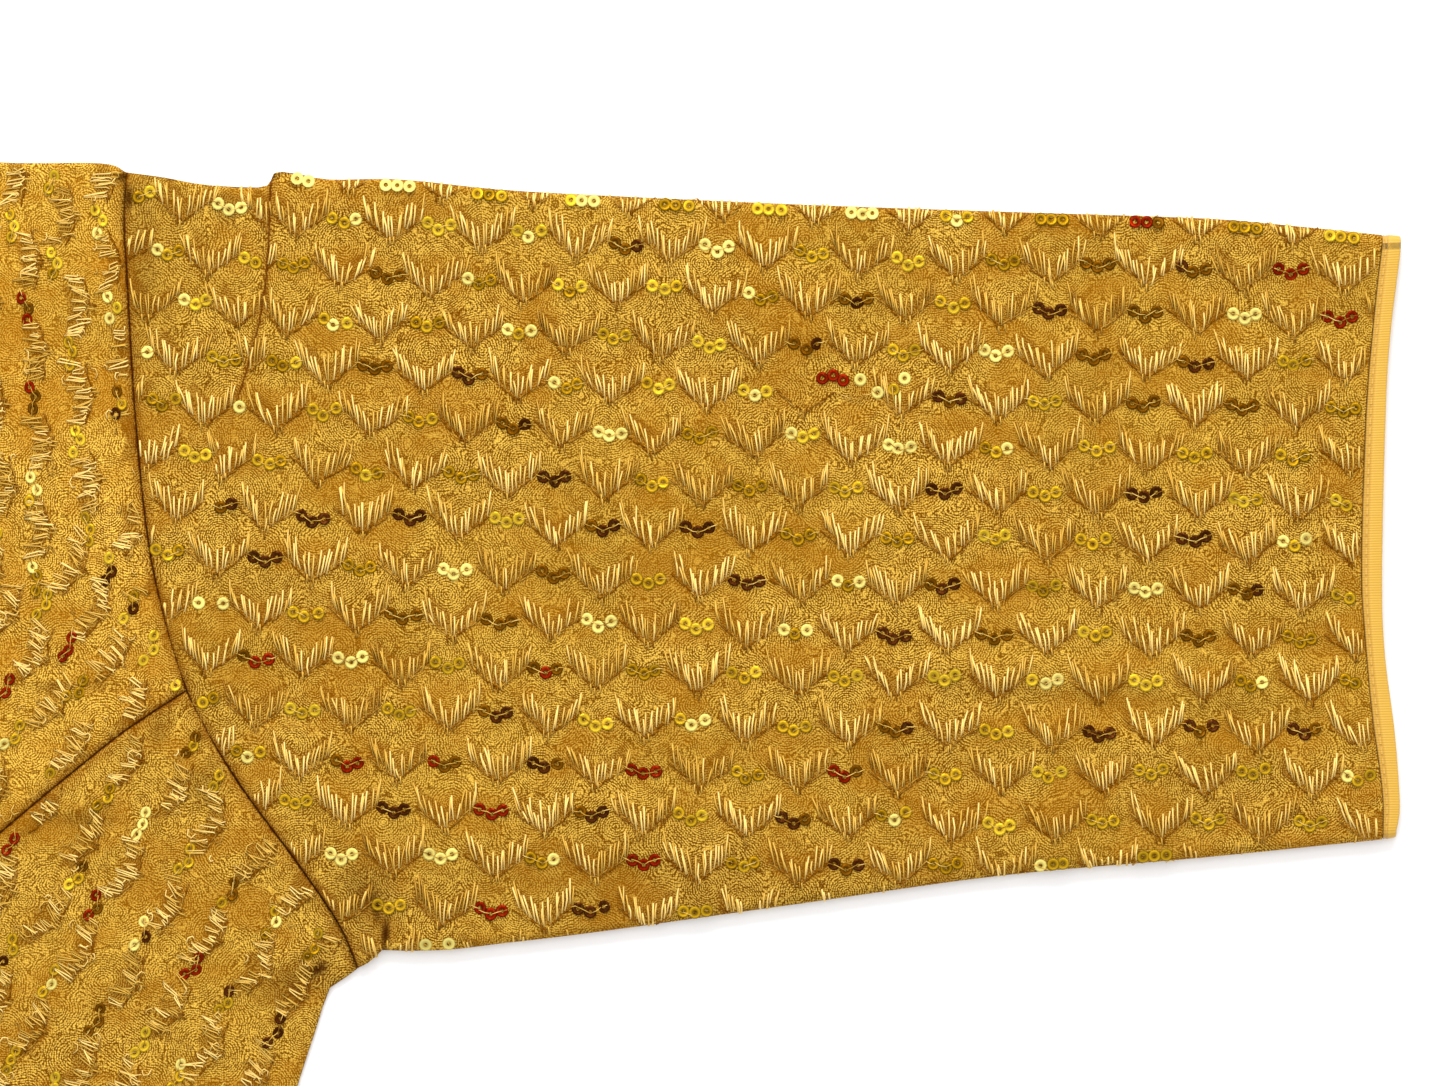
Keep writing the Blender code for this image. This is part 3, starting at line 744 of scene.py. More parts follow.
# The upper side on its grid, its columns drawn together at the tuck, and the under side below it.
length, depth, step = SLEEVE_GRID
margin = SEAM_CLEAR / SLEEVE_TOP.length
along = margin + shares(length, step) * (1 - 2 * margin)
across = shares(depth, step, close=(0.08, 0.3, 0.65, 1.15, 1.8, 2.8))
upper = patch(ARMHOLE, CUFF_SEAM, SLEEVE_TOP, SLEEVE_UNDER, along[None, :], across[:, None])
beyond = beyond_tuck(upper)
near = np.exp(-((beyond / 7) ** 2)) * (1 - smoothstep((upper[..., 1] - 50) / 30))
upper = upper - (0.8 * near * beyond)[..., None] * (1, 0)
under = upper[-2:0:-1]
under_height = SLEEVE_HEIGHT / 2 * (1 - round_fold(under, SLEEVE_HEIGHT / 2)[1])
rings = np.concatenate([raised(upper, sleeve_height(upper)), raised(under, under_height)], 0)
faces = grid_faces(*rings.shape[:2], round_rows=True)[:, ::-1]
is_under = np.arange(len(faces)) >= (len(upper) - 1) * (rings.shape[1] - 1)
spots = rings[..., :2]
faded = smoothstep((spots[..., 1] - 54) / 26) * 3
sleeve_maps = {
    "repeat": sleeve_lattice(spots),
    "tuck": np.stack([np.clip(beyond_tuck(spots) - 0.1, -8, 8), faded], -1),
}
to_armhole = np.minimum(ARMHOLE.distance(spots), SHOWN_SEAM)
top_georgette = georgette("embroidered gold georgette", tucked=True)
for wearer_side, side, _ in SIDES:
    cloth = piece_of(
        f"sleeve_{wearer_side}_cloth", rings, faces, side, top_georgette, flat_georgette, wall=CLOTH_WALL,
        maps=sleeve_maps, values={"seam": to_armhole},
    )
    cloth.data.polygons.foreach_set("material_index", is_under.astype(np.int32))

# ------------------------------------------------------------
# The embroidery.
# Gold metal thread. V's of slanting satin stitches stand in staggered rows, and a running line joins each tip
# to the next and carries three ring sequins on its way. On the sleeves the V's lie open and even; on the
# fronts the same V's are worked as one looped thread and have drawn together.

V_STITCHES = 18
V_HALF_WIDTH = 6.7
V_OFFSET = 0.45  # how far the middle of the two arms lies beyond the tip, along the row
V_SLOPE = 0.8  # how fast the arms rise from the tip
STITCH_LENGTH = 5.0
STITCH_LEAN = 0.9  # how far a stitch's upper end lies further out than its lower end
STITCH_SLANT = -0.4  # and back along the row, on both arms
LOOPS = 12
LOOPED_HALF_WIDTH = 6.2
LOOPED_SLOPE = 0.3
LOOP_LENGTH = 3.7
SEQUIN_RADIUS = 1.56
SEQUIN_SPACING = 2.75
SEQUIN_RISE = 3.35  # of the middle sequin above the line of tips
SEQUIN_STEP = 1.15  # of the outer two above the middle one
STITCH_CLEAR = 0.6  # from a seam or a cut edge of a front to the nearest stitch
RING_CLEAR = 1.6  # and to the middle of the nearest ring
STITCHES_WITHIN = (-0.35, 0.6, 0.8)  # a sleeve's folds (below 0, they may pass them), armhole and cuff
RINGS_WITHIN = (0.8, 1.4, 1.8)
SATIN_RADIUS = 0.26  # of the threads
LOOP_RADIUS = 0.2
DASH_RADIUS = 0.24
TIE_RADIUS = 0.12

SLEEVE_OUTLINE = outline_of(ARMHOLE, SLEEVE_UNDER, reverse(CUFF_SEAM), reverse(SLEEVE_TOP))
FRONT_OUTLINES = {
    "centre": outline_of(
        FRONT_HEM, PRINCESS, reverse(UPPER_ARMHOLE), reverse(SHOULDER), reverse(FRONT_NECK), reverse(LAP_EDGE)
    ),
    "side": outline_of(SIDE_HEM, SIDE, reverse(LOWER_ARMHOLE), reverse(PRINCESS)),
}
CUT_EDGES = (FRONT_NECK, SHOULDER, LAP_EDGE, FRONT_HEM, SIDE_HEM, SIDE)


def inside(outline, spots):
    """Whether each spot is in the outline: a line from it crosses the outline an odd number of times."""
    x, y = spots[..., 0], spots[..., 1]
    odd = np.zeros(x.shape, bool)
    for (x1, y1), (x2, y2) in zip(outline, np.roll(outline, -1, 0)):
        if y1 != y2:
            odd ^= ((y1 > y) != (y2 > y)) & (x < x1 + (y - y1) * (x2 - x1) / (y2 - y1))
    return odd


def motif_places(rows, first, last, outline, random, shake):
    """The lattice places whose V touches the outline, and the frame of each V: tip, along, and up."""
    a, b = np.meshgrid(np.arange(first[0], last[0] + 1.0), np.arange(first[1], last[1] + 1.0))
    lattice = np.stack([a + 0.5 * (b % 2), b], -1).reshape(-1, 2)
    step = 0.05
    tip = rows(lattice)
    along = rows(lattice + (step, 0)) - rows(lattice - (step, 0))
    along /= size_of(along)[:, None]
    up = np.stack([along[:, 1], -along[:, 0]], -1)
    up *= -np.sign((up * (rows(lattice + (0, step)) - tip)).sum(-1))[:, None]
    near = np.zeros(len(tip), bool)
    for x in (-11, 0, 11):
        for y in (0, 6, 11):
            near |= inside(outline, tip + x * along + y * up)
    turn = random.normal(0, 0.15 * shake, (len(tip), 1))
    along, up = along + up * turn, up - along * turn
    tip = tip + random.normal(0, shake, tip.shape)
    return lattice[near], tip[near], along[near], up[near]


def placed(tip, along, up, local):
    """Local (along, up) positions, an array for each V, as spots on the table."""
    extra = (slice(None),) + (None,) * (local.ndim - 2)
    return tip[extra] + local[..., :1] * along[extra] + local[..., 1:] * up[extra]


def strands(paths, radius, tones):
    """Threads as three-sided tubes with a flat base, along paths that are rows of points."""
    count, stations = paths.shape[:2]
    run = np.gradient(paths[..., :2], axis=1)
    run /= np.maximum(size_of(run), 1e-6)[..., None]
    across = np.stack([run[..., 1], -run[..., 0], np.zeros(run.shape[:-1])], -1) * radius[:, None, None]
    lift = np.zeros(across.shape)
    lift[..., 2] = radius[:, None] * 1.5
    rings = np.stack([paths - across, paths + lift, paths + across], 2)
    tube = np.arange(stations - 1)[:, None] * 3
    low, high = np.array([0, 1, 2]), np.array([1, 2, 0])
    first = np.stack([tube + low, tube + low + 3, tube + high + 3], -1).reshape(-1, 3)
    second = np.stack([tube + low, tube + high + 3, tube + high], -1).reshape(-1, 3)
    last = (stations - 1) * 3
    one = np.vstack([first, second, [[0, 1, 2], [last, last + 2, last + 1]]])
    faces = (np.arange(count)[:, None, None] * stations * 3 + one).reshape(-1, 3)
    return rings.reshape(-1, 3), faces, np.repeat(tones, stations * 3)


def metal_thread():
    """Flat gilt thread wound on silk: pale and bright where its tone is high, brown where it is low."""
    gleam = {"Specular IOR Level": 0.05, "Specular Tint": (1.0, 0.8, 0.4, 1)}
    finish = Finish("gold metal thread", (0.22, 0.07, 0), {"Metallic": 0.12, "Roughness": 0.4, **gleam})
    wound = finish.noise(finish.place(), 3.4, 1.0)
    shade = finish.attribute("tone") + (wound - 0.5) * 0.5
    finish.paint(shade.rise(0.0, 0.55), (0.66, 0.395, 0.06))
    finish.paint(shade.rise(0.5, 1.0), (0.92, 0.66, 0.21))
    finish.bump(wound, 0.05)
    return finish.material


def lay(spots, height_of, lift):
    """Puts spots on the cloth, that far above it."""
    return raised(spots, height_of(spots) + lift)


def cut_short(spots, keep):
    """Stitches that run past the cloth's edge, shortened towards an end to the longest that stays on it."""
    cut, off = spots.copy(), np.flatnonzero(~keep(spots).all(-1))
    for share in (0.3, 0.5, 0.7, 0.85):
        for end in (0, -1):
            shorter = spots[off][:, [end]] * (1 - share) + spots[off] * share
            on = keep(shorter).all(-1)
            cut[off[on]] = shorter[on]
    return cut


def satin_stitches(random, count):
    """The open V: each stitch rises from the cloth, arches over it and goes in again, in pairs."""
    share = np.linspace(-1, 1, V_STITCHES)
    width = random.normal(1.0, 0.06, (count, 1))
    second = np.arange(V_STITCHES) % 2
    x = (share * V_HALF_WIDTH + abs(share) * V_OFFSET) * width + 0.12 - 0.24 * second
    x += random.normal(0, 0.2, x.shape)
    foot = abs(share) * V_HALF_WIDTH * V_SLOPE + random.normal(0, 0.42, x.shape) - 0.35 * second
    head = foot + STITCH_LENGTH * random.normal(1.0, 0.06, (count, 1)) + random.normal(0, 0.75, x.shape)
    lean = np.tanh(3 * share) * STITCH_LEAN + STITCH_SLANT + random.normal(0, 0.32, x.shape)
    low, high = np.stack([x, foot], -1), np.stack([x + lean, head], -1)
    middle = (low + high) / 2 + random.normal(0, 0.13, low.shape)
    return np.stack([low, middle, high], 2)


def loops(random, count):
    """The drawn-together V: one thread that goes up and down in narrow loops, round at head and foot."""
    step = 2 * LOOPED_HALF_WIDTH / LOOPS
    middle = (np.linspace(-1, 1, LOOPS) * LOOPED_HALF_WIDTH * random.normal(1, 0.1, (count, 1)))[..., None]
    one, shape = (count, LOOPS, 1), (count, LOOPS, 6)
    up = np.array([0.0, 0.14, 0.88, 1.0, 0.18, 0.0]) * random.normal(LOOP_LENGTH, 0.8, one)
    y = up + abs(middle) * LOOPED_SLOPE + random.normal(0, 0.6, one) + random.normal(0, 0.2, shape)
    x = middle + step * np.array([-0.5, -0.28, -0.22, 0.2, 0.28, 0.5]) + random.normal(0, 0.24, shape)
    x = x + random.normal(0, 0.4, one) + random.normal(0, 0.16, one) * up
    return np.stack([x + 0.09 * np.sign(middle) * up, y], -1)


def curls(random, count, number=4):
    """Slack thread: short arcs of a circle lying anywhere in and about the V."""
    middle = random.uniform((-8, -1), (8, 7), (count, number, 1, 2))
    radius = random.uniform(0.7, 1.6, (count, number, 1))
    turn = random.uniform(0, 2 * np.pi, (count, number, 1)) + np.linspace(0, 3.3, 4)
    return middle + np.stack([radius * np.cos(turn), 0.7 * radius * np.sin(turn)], -1)


def embroider(name, side, rows, first, last, outline, height_of, keep, seed, drawn_together, missing=None):
    """All the threads of one panel, and the frames of its V's. Where a V is missing, its row goes on."""
    random = np.random.default_rng(seed)
    frames = motif_places(rows, first, last, outline, random, 0.8 if drawn_together else 0.3)
    lattice, *axes = frames
    count = len(lattice)
    worked = np.full(count, True) if missing is None else (abs(lattice - missing) > 0.1).any(-1)
    v_tone = random.beta(1.7, 1.4, count)
    parts = []

    def add(spots, lift, radius, tones):
        kept = keep(spots).all(-1)
        paths = lay(spots, height_of, lift)[kept]
        parts.append(strands(paths, radius * (0.8 + 0.3 * tones[kept]), tones[kept]))

    def sew(local, lift, radius, *tones):
        """Threads laid in the frame of each V, at that height along them, in any tone between the two."""
        spots = placed(*axes, local).reshape(-1, *local.shape[-2:])
        add(spots, np.array(lift), radius, random.uniform(*tones, len(spots)))

    if drawn_together:
        runs = placed(*axes, loops(random, count)).reshape(-1, 6, 2)
        tones = np.repeat(v_tone, LOOPS) * 0.4 + random.uniform(0.2, 0.85, len(runs))
        add(runs, random.uniform(0.1, 0.5, (len(runs), 6)), LOOP_RADIUS, tones)
        sew(curls(random, count), (0.0, 0.4, 0.4, 0.0), LOOP_RADIUS, 0.2, 1.0)
    else:
        spots = placed(*axes, satin_stitches(random, count))[worked].reshape(-1, 3, 2)
        spots = cut_short(spots, keep)
        at_tip = np.tile(1 - abs(np.linspace(-1, 1, V_STITCHES)), worked.sum())
        tones = np.repeat(v_tone[worked], V_STITCHES) * 0.4 + at_tip * 0.2
        tones = tones + random.uniform(0.12, 0.65, len(spots))
        add(spots, np.array([-0.05, 0.42, -0.05]), SATIN_RADIUS, tones)

    # The running line: brown dashes under the V, and a few knots where it turns at the tip.
    dash_x = np.arange(-V_HALF_WIDTH - 0.6, V_HALF_WIDTH, 1.3)[:, None] + (0, 1.4)
    dash_y = abs(dash_x) * (LOOPED_SLOPE if drawn_together else V_SLOPE) - 0.6
    dashes = np.stack([dash_x, dash_y], -1)
    sew(dashes + random.normal(0, 0.2, (count, len(dashes), 1, 2)), (0.2, 0.1), DASH_RADIUS, -0.1, 0.3)
    knots = np.array([[(-1.0, 0.7), (-0.8, -1.1)], [(-0.1, 0.0), (0.1, -1.8)], [(0.7, 0.6), (0.9, -1.2)]])
    sew(knots + random.normal(0, 0.25, (count, 3, 1, 2)), (0.4, 0.1), DASH_RADIUS, 0.0, 0.6)

    # The thread that ties the sequins down, from hole to hole.
    tie_x = REPEAT / 2 + SEQUIN_SPACING * np.array([-1.75, -1, 0, 1, 1.75])
    tie_y = SEQUIN_RISE + SEQUIN_STEP * np.array([1.5, 1, 0, 1, 1.5])
    hole = np.stack([tie_x, tie_y], -1)
    ties = np.stack([hole[:-1], (hole[:-1] + hole[1:]) / 2, hole[1:]], 1)
    sew(ties + random.normal(0, 0.15, (count, 4, 3, 2)), (0.3, 0.75, 0.3), TIE_RADIUS, 0.1, 0.8)
    starts = np.cumsum([0] + [len(points) for points, _, _ in parts])
    points, faces, tones = zip(*parts)
    faces = np.vstack([faces_of_part + start for faces_of_part, start in zip(faces, starts)])
    values = {"tone": np.concatenate(tones)}
    return piece_of(name, np.vstack(points), faces, side, gold_thread, values=values), frames


def within_folds(spots):
    """How far a spot is within the sleeve's folds. It is below 0 outside them."""
    return np.where(inside(SLEEVE_OUTLINE, spots), 1, -1) * to_fold(spots)


def sleeve_top(spots):
    """The height of the sleeve's upper face, and its folds followed down past their outermost line."""
    return sleeve_height(spots) + np.minimum(within_folds(spots), 0)


def cap_rows(lattice):
    """The rows of the cap, moved out by what the tuck takes up."""
    spots = sleeve_rows(lattice)
    return spots + taken_up(spots)[:, None] * (1, 0)


def sleeve_keep(way, off_tuck, within, off_armhole, off_cuff):
    """Passes what lies that far off a sleeve's lines: inside the tuck where `way` is -1, outside it at 1."""
    return lambda spots: (
        (within_folds(spots) > within)
        & (ARMHOLE.distance(spots) > off_armhole)
        & (CUFF_SEAM.distance(spots) > off_cuff)
        & (way * beyond_tuck(spots) > off_tuck)
    )


def panel_keep(part, clear):
    """Passes what lies on a front's panel, and that far from its seams and its cut edges."""
    edges = (*FRONT_PANELS[part][2], *CUT_EDGES)
    return lambda spots: inside(FRONT_OUTLINES[part], spots) & (nearest(edges, spots) > clear)


# The two parts of a sleeve: rows, way from the tuck, and how far its stitches and its rings keep from it.
SLEEVE_PARTS = {"cap": (cap_rows, -1, 0.25, 1.3), "sleeve": (sleeve_rows, 1, 0.0, 1.0)}
LATTICES = {"centre": ((-2, -22), (18, 20)), "side": ((-14, -14), (6, 8)), "sleeve": ((-8, -2), (9, 17))}
gold_thread = metal_thread()
embroidery = {}
for wearer_side, side, lapping in SIDES:
    seed, missing = (11, MISSING_V) if side > 0 else (12, None)
    for part, (rows, way, off_tuck, _) in SLEEVE_PARTS.items():
        embroidery[part, wearer_side] = embroider(
            f"embroidery_{part}_{wearer_side}", side, rows, *LATTICES["sleeve"], SLEEVE_OUTLINE, sleeve_top,
            sleeve_keep(way, off_tuck, *STITCHES_WITHIN), seed, False, missing,
        )
    for part, (_, rows, seams, _) in FRONT_PANELS.items():
        embroidery[part, wearer_side] = embroider(
            f"embroidery_front_{part}_{wearer_side}", side, rows, *LATTICES[part], FRONT_OUTLINES[part],
            front_top(rows, seams, lapping), panel_keep(part, STITCH_CLEAR), seed + 10, True,
        )

# ------------------------------------------------------------
# The sequins.
# Thin rings punched from metallised film, three in a dip between each V and the next. Most are pale or yellow
# gold, some are clear amber, brown or smoked, and a few are red. Each lies at its own slight tilt.

HOLE_RADIUS = 0.5
SEQUIN_CREST = 1.2  # the ring is dished to here, and its rim turns down
SEQUIN_EDGE = 0.16
SEQUIN_SIDES = 11
STEEPEST = 0.9  # that a ring tips

# Colour, how metallic it is, how much darker it is along its edges, and its share of the threes on the cloth.
SEQUIN_COLOURS = {
    "pale gold": ((0.76, 0.62, 0.16), 0.1, 0.65, 0.18),
    "lemon": ((0.62, 0.40, 0.02), 0.25, 0.55, 0.15),
    "amber": ((0.52, 0.30, 0.010), 0.3, 0.28, 0.28),
    "clear": ((0.37, 0.19, 0.004), 0.35, 0.16, 0.2),
    "brown": ((0.15, 0.052, 0.001), 0.4, 0.3, 0.08),
    "smoke": ((0.055, 0.012, 0.002), 0.5, 0.5, 0.09),
    "red": ((0.20, 0.008, 0.001), 0.4, 0.35, 0.06),
}
OWN_COLOUR = 0.26  # the share of rings that differ from their three
CHART_REACH = 9.0  # how near a charted place its three lies
RING_LIFT = 0.32  # of a ring above the cloth

# The left side's dark, brown and red threes: across, down.
LEFT_SLEEVE_CHART = {
    "red": [
        (431, 16), (470, 26), (482, 39), (218, 119), (290, 121), (242, 142), (266, 143), (313, 145),
        (361, 146), (278, 154), (313, 168), (278, 177),
    ],
    "smoke": [
        (307, 21), (444, 26), (362, 35), (272, 51), (444, 48), (278, 63), (210, 83), (234, 85), (258, 86),
        (384, 79), (431, 81), (327, 90), (443, 93), (220, 96), (384, 102), (278, 131), (290, 143), (253, 154),
        (301, 156), (292, 76), (373, 113), (395, 114), (455, 104), (422, 134), (361, 170), (301, 179),
        (348, 158), (349, 45), (384, 57), (309, 89), (450, 135), (477, 135), (408, 34), (373, 134),
        (340, 101),
    ],
    "brown": [
        (251, 26), (248, 49), (292, 98), (256, 109), (280, 110), (443, 116), (421, 25), (432, 36), (421, 46),
        (455, 60), (433, 58),
    ],
}
LEFT_FRONT_CHART = {
    "red": [(166, 30), (169, 56), (176, 112), (166, 120), (168, 167), (178, 177), (202, 190)],
}
LOOSE_RINGS = (
    (355.7, 51.8, "red"), (358.3, 51.1, "red"), (360.7, 52.3, "red"), (364.8, 52.1, "pale gold"),
    (368.9, 55.2, "pale gold"), (372.7, 54.5, "amber"), (375.4, 51.8, "pale gold"),
)


def ring_meshes(centres, tilts, along, squeeze):
    """Rings of a three-cornered section: rim, crest and hole. `squeeze` narrows them across the row."""
    turn = np.arange(SEQUIN_SIDES)[:, None] * 2 * np.pi / SEQUIN_SIDES
    radii = np.array([SEQUIN_RADIUS, SEQUIN_CREST, HOLE_RADIUS])
    across = np.stack([-along[:, 1], along[:, 0]], -1)[:, None, None]
    spots = (np.cos(turn) * radii)[..., None] * along[:, None, None]
    spots = spots + (np.sin(turn) * radii * squeeze)[..., None] * across
    height = np.array([0, SEQUIN_EDGE, SEQUIN_EDGE * 0.2]) + (spots * tilts[:, None, None]).sum(-1)
    points = raised(spots, height) + centres[:, None, None]
    one = grid_faces(SEQUIN_SIDES, 3, round_rows=True, round_columns=True)
    faces = (np.arange(len(centres))[:, None, None] * SEQUIN_SIDES * 3 + one).reshape(-1, 4)
    return points.reshape(-1, 3), faces


def sequin_film():
    """Metallised film: bright and smooth, in each ring's own colour."""
    finish = Finish("sequin film", (1, 1, 1), {"Roughness": 0.3, "Specular IOR Level": 0.0})
    scuff = finish.noise(finish.place(), 1.9)
    own = finish.node("Attribute", {"attribute_name": "colour"})
    finish.colour = finish.output(own, "Color")
    finish.paint(scuff.rise(0.5, 0.9) * 0.12, (0.62, 0.40, 0.08))
    finish.feed(finish.shader, {"Metallic": finish.output(own, "Alpha")})
    finish.bump(scuff, 0.04)
    return finish.material


def chosen_kinds(random, spots, charted):
    """Each three's colour: the charted one if its spot is near, or else by chance, in the shares above."""
    names = list(SEQUIN_COLOURS)
    drawn = np.array([names.index(name) for name in names if name not in charted])
    weights = np.array([row[-1] for row in SEQUIN_COLOURS.values()])[drawn]
    weights = weights / weights.sum()
    kind = np.repeat(drawn[random.choice(len(drawn), len(spots), p=weights)][:, None], 3, 1)
    own = random.random(kind.shape) < OWN_COLOUR
    kind = np.where(own, drawn[random.choice(len(drawn), kind.shape, p=weights)], kind)
    for name, places in charted.items():
        apart = size_of(spots[:, None, 1] - np.array(places))
        these = apart.argmin(0)[apart.min(0) < CHART_REACH]
        kind[these] = np.where(own[these], names.index("brown"), names.index(name))
    return kind


def slope(spots, height_of):
    """How steeply the cloth rises across and down, over the width of a ring."""
    step = 0.8
    rises = [height_of(spots + ahead) - height_of(spots - ahead) for ahead in ((step, 0), (0, step))]
    return np.clip(np.stack(rises, -1) / (2 * step), -STEEPEST, STEEPEST)


def sequins(name, side, frames, height_of, keep, seed, squeeze, steady, charted, loose=(), settled=None):
    """Three rings by each V, and the loose ones: (across, down, colour)."""
    random = np.random.default_rng(seed)
    lattice, tip, along, up = frames
    if loose:
        worked = (abs(lattice - MISSING_V) > 0.1).any(-1)
        tip, along, up = tip[worked], along[worked], up[worked]
    x = REPEAT / 2 + SEQUIN_SPACING * np.array([-1, 0, 1])
    y = SEQUIN_RISE + SEQUIN_STEP * np.array([1, 0, 1])
    spots = placed(tip, along, up, np.stack([x, y], -1) + random.normal(0, 0.16, (len(tip), 3, 2)) / steady)
    kind = chosen_kinds(random, spots, charted).ravel()
    spots, ring_along = spots.reshape(-1, 2), np.repeat(along, 3, 0)
    if loose:
        spots = np.vstack([spots, [place[:2] for place in loose]])
        ring_along = np.vstack([ring_along, np.tile((1.0, 0.0), (len(loose), 1))])
        kind = np.concatenate([kind, [list(SEQUIN_COLOURS).index(place[2]) for place in loose]])
    if settled:
        spots = settled(spots)
    kept = keep(spots)
    spots, ring_along, kind = spots[kept], ring_along[kept], kind[kept]
    kinds = list(SEQUIN_COLOURS.values())
    paints = np.array([(*colour, metallic) for colour, metallic, *_ in kinds])[kind]
    paints[..., :3] *= random.uniform(0.8, 1.12, (len(kind), 1))
    edges = np.array([edge for *_, edge, _ in kinds])[kind]
    tilts = slope(spots, height_of) + random.normal(0, 0.12 / steady, (len(kind), 2))
    rings = ring_meshes(lay(spots, height_of, RING_LIFT), tilts, ring_along, squeeze)
    piece = piece_of(name, *rings, side, film)
    paints = np.repeat(paints[:, None], 3, 1)
    # Each ring is darker at its rim and its hole by its edge share, and lighter on its crest, a painted
    # highlight.
    paints[..., :3] *= np.stack([edges, np.full(len(edges), 1.15), edges], 1)[..., None]
    paints = np.tile(np.clip(paints, 0, 1), (1, SEQUIN_SIDES, 1)).astype(np.float32)
    piece.data.attributes.new("colour", "FLOAT_COLOR", "POINT").data.foreach_set("color", paints.ravel())
    piece.data.shade_flat()
    return piece


def off_the_folds(spots):
    """Rings about a sleeve's folds lie just inside them."""
    within = within_folds(spots)
    inward = np.where(within > -1.4, np.clip(SEQUIN_RADIUS - within, 0, None), 0)
    away = np.where(SLEEVE_TOP.distance(spots) < SLEEVE_UNDER.distance(spots), inward, -inward)
    return spots + away[:, None] * (0, 1)


film = sequin_film()
for wearer_side, side, lapping in SIDES:
    seed = 31 if side > 0 else 32
    for part, (_, way, _, off_tuck) in SLEEVE_PARTS.items():
        sequins(
            f"sequins_{part}_{wearer_side}", side, embroidery[part, wearer_side][1], sleeve_top,
            sleeve_keep(way, off_tuck, *RINGS_WITHIN), seed, squeeze=1.0, steady=1.0,
            charted=LEFT_SLEEVE_CHART if side > 0 else {},
            loose=LOOSE_RINGS if side > 0 and part == "sleeve" else (), settled=off_the_folds,
        )
    for part, (_, rows, seams, _) in FRONT_PANELS.items():
        sequins(
            f"sequins_front_{part}_{wearer_side}", side, embroidery[part, wearer_side][1],
            front_top(rows, seams, lapping), panel_keep(part, RING_CLEAR), seed + 10, squeeze=0.82,
            steady=0.6, charted=LEFT_FRONT_CHART if side > 0 else {},
        )

# ------------------------------------------------------------
# The cut of the cloth.
# Only the back's outline is made here. Each panel was cut flat to its outline, and its embroidery and sequins
# are sewn to it. They lie on the table and on each other. A sleeve is one panel folded along its top, so its
# cut is the outline twice.


BACK_OUTLINE = outline_of(
    BACK_HEM, SIDE, reverse(ARMHOLE), reverse(SHOULDER), reverse(BACK_NECK), reverse(CENTRE_BACK)
)

# ------------------------------------------------------------
# The cuff bindings.
# A strip of plain gold satin folded over the end of each sleeve and topstitched close to the seam. It goes
# all round the flattened sleeve.

CUFF_HEIGHT = 5.0
CUFF_WIDTH = 4.1  # of the strip as it shows
CUFF_FOLD_MARGIN = CUFF_HEIGHT / 2 / 145  # the share of the cuff's length that the bend at a fold takes up
BINDING_FOLD = 1.3  # thickness of the fold that it makes over the cloth's edge
BINDING_WALL = 0.35
BINDING_SLOPE = 0.03  # of its outer face, down towards the fold
CUFF_EDGE = Line(
    (493.6, 17.4), (494.2, 20.5), (491.8, 40.3), (490.6, 59.5), (489.7, 97.9), (490.3, 117.1), (492.7, 136.3),
    (493.9, 152), (493.6, 158), (492.2, 162),
)


def gold_satin():
    """Plain satin: fine ribs across the strip, a line of stitches by its inner edge, painted shade in its
    ditch, its needle holes and along its seam, and a smooth sheen.
    """
    sheen = {"Roughness": 0.4, "Sheen Weight": 0.08, "Specular IOR Level": 0.25}
    finish = Finish("gold satin", (0.64, 0.38, 0.055), sheen)
    strip = finish.uv("strip")
    along, across = finish.split(strip)
    ripple = finish.noise(strip, (0.35, 0.12, 1.0))
    ribs = (along * (2 * np.pi / 0.62) + ripple * 3).wave()
    off_line, stitch_run = abs(across - 1.0), (along * (2 * np.pi / 2.4)).wave()
    thread = off_line.fall(0.16, 0.34) * stitch_run.rise(0.12, 0.3)
    ditch = off_line.fall(0.15, 0.8)
    finish.paint(ribs * 0.5 + ripple * 0.3, (0.54, 0.29, 0.033))
    # Painted shade in the ditch along the line of stitches.
    finish.paint(ditch * 0.45, (0.46, 0.21, 0.025))
    finish.paint(thread * 0.25, (0.72, 0.45, 0.10))
    # Painted shade in the needle holes between the stitches, and along the seam.
    finish.paint(off_line.fall(0.2, 0.4) * stitch_run.fall(0.0, 0.12) * 0.2, (0.2, 0.08, 0.01))
    finish.paint(across.fall(0.1, 0.55) * 0.7, (0.16, 0.06, 0.01))
    finish.bump(ribs * 0.25 + thread * 0.7 - ditch * 0.8, 0.25)
    return finish.material


def fold_profile(width, fold):
    """A strip folded over an edge: how far along, and how far up from the outer face, from seam to seam."""
    turn = np.radians(np.linspace(90, -90, 9))
    flat = np.array([0, 0.25, 0.55, 0.9, 1.2, 1.6, 2.2, 3.0])
    flat = flat[flat < width - fold / 2 - 0.2]
    dip = 0.45 * np.exp(-((flat / 0.3) ** 2)) + 0.2 * np.exp(-(((flat - 1.0) / 0.3) ** 2))
    outer = np.stack([flat, -dip - BINDING_SLOPE * flat**2], -1)
    last = width - fold / 2
    half = (fold - BINDING_SLOPE * last**2) / 2
    round_edge = np.stack([last + fold / 2 * np.cos(turn), half * (1 + np.sin(turn)) - fold], -1)
    inner = np.stack([flat[::-1], np.full(len(flat), -fold)], -1)
    return np.vstack([outer, round_edge, inner])


def tube_loop(steps):
    """The places round a flattened tube: share of its width, run past the fold, and level, from -1 to 1."""
    middle, none, ends = (np.arange(steps) + 0.5) / steps, np.zeros(steps), np.ones(9)
    turn = np.radians(np.linspace(80, -80, 9))
    upper = np.stack([middle, none, none + 1], -1)
    far = np.stack([ends, np.cos(turn), np.sin(turn)], -1)
    under = np.stack([middle[::-1], none, none - 1], -1)
    near = np.stack([0 * ends, -np.cos(turn), -np.sin(turn)], -1)
    return np.vstack([upper, far, under, near])


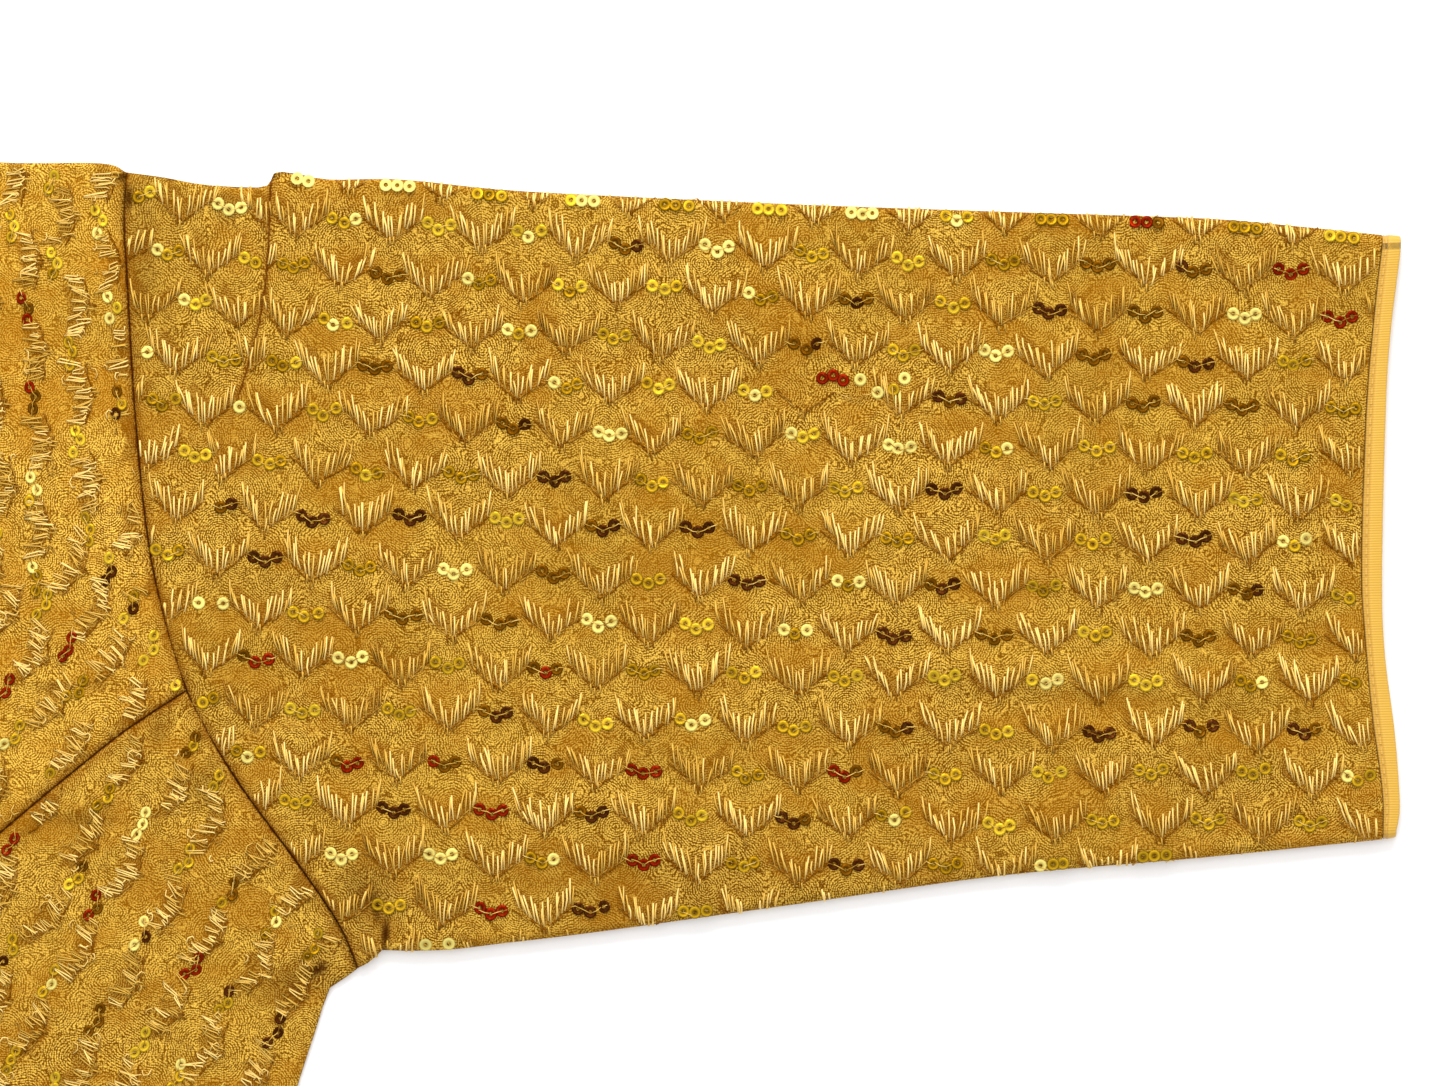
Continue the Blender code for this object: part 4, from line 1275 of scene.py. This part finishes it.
def binding(name, side, points, along, from_seam, length, below, closed=False):
    """A folded strip from rows of points; `length`, how long it was cut, is not used. Its map counts along
    it, and from its seam.
    """
    faces = grid_faces(*points.shape[:2], round_columns=closed)
    maps = {"strip": np.stack(np.broadcast_arrays(along, from_seam[:, None]), -1)}
    piece = piece_of(name, points, faces, side, satin, slot="gold_satin", wall=BINDING_WALL, maps=maps)


# The folded strip carried round the flattened tube.
satin = gold_satin()
profile = fold_profile(CUFF_WIDTH, BINDING_FOLD)
loop = tube_loop(64)
share = np.clip(profile[:, 0] / CUFF_WIDTH, 0, 1)[:, None, None]
at = CUFF_FOLD_MARGIN + loop[:, 0] * (1 - 2 * CUFF_FOLD_MARGIN)
ends = CUFF_SEAM(1.0) - CUFF_SEAM(0.0)
radius = CUFF_HEIGHT / 2 + profile[:, 1:]
spots = (1 - share) * CUFF_SEAM(at) + share * CUFF_EDGE(at)
spots = spots + (loop[:, 1] * radius)[..., None] * ends / size_of(ends)
points = raised(spots, CUFF_HEIGHT / 2 + loop[:, 2] * radius)
middle = spots[len(spots) // 2]
along = np.concatenate([[0], np.cumsum(size_of(np.diff(middle, axis=0)))])
for wearer_side, side, _ in SIDES:
    name = f"cuff_binding_{wearer_side}_satin"
    binding(name, side, points, along, profile[:, 0], 2 * CUFF_EDGE.length, "table", closed=True)

# ------------------------------------------------------------
# The neck bindings.
# The same satin strip folded over the edge of the neckline: one along the back neck, and one along each
# front, from the lap edge to the shoulder.

NECK_WIDTH = 4.9
NECK_START = 0.4
NECK_RISE = 0.3  # of the strip above the cloth that it binds
NECK_STEPS = 96


def neck_strip(line, top_of):
    """The points of the strip on a neckline's inner side, how far along it they are, and from its seam."""
    share = np.linspace(0, 1, NECK_STEPS)
    spots = line(share)
    run = np.gradient(spots, axis=0)
    run /= size_of(run)[:, None]
    if abs(run[0, 0]) > 0.9:
        run[0] = (1, 0)
    aside = np.stack([run[:, 1], -run[:, 0]], -1)
    profile = fold_profile(NECK_WIDTH - NECK_START, BINDING_FOLD)
    across = spots + (NECK_START + profile[:, 0])[:, None, None] * aside
    return raised(across, top_of(spots) + profile[:, 1:]), share * line.length, profile[:, 0]


for wearer_side, side, lapping in SIDES:
    strip = neck_strip(FRONT_NECK, lambda spots, lapping=lapping: front_body(spots, lapping) + NECK_RISE)
    binding(f"neck_binding_front_{wearer_side}_satin", side, *strip, FRONT_NECK.length, "back")

points, along, from_seam = neck_strip(BACK_NECK, lambda spots: np.full(len(spots), BINDING_FOLD))
points[:, 0, 0] = 0.0
points = np.concatenate([points[:, :0:-1] * (-1, 1, 1), points], 1)
along = np.concatenate([-along[:0:-1], along])
binding("neck_binding_back_satin", 1, points, along, from_seam, 2 * BACK_NECK.length, "table")

# ------------------------------------------------------------
# The hooks.
# Five brass wire hooks under the lapping edge. They are solids of the model, and get their metal here.

brass = Finish("brass wire", (0.62, 0.46, 0.2), {"Metallic": 1.0})
drawn_wire = brass.noise(brass.place(), 2.2, 3.0)
brass.feed(brass.shader, {"Roughness": drawn_wire * 0.25 + 0.22})
brass.bump(drawn_wire, 0.03)
for number in range(1, 6):
    for slot in bpy.data.objects[f"hook_{number}"].material_slots:
        slot.material = brass.material
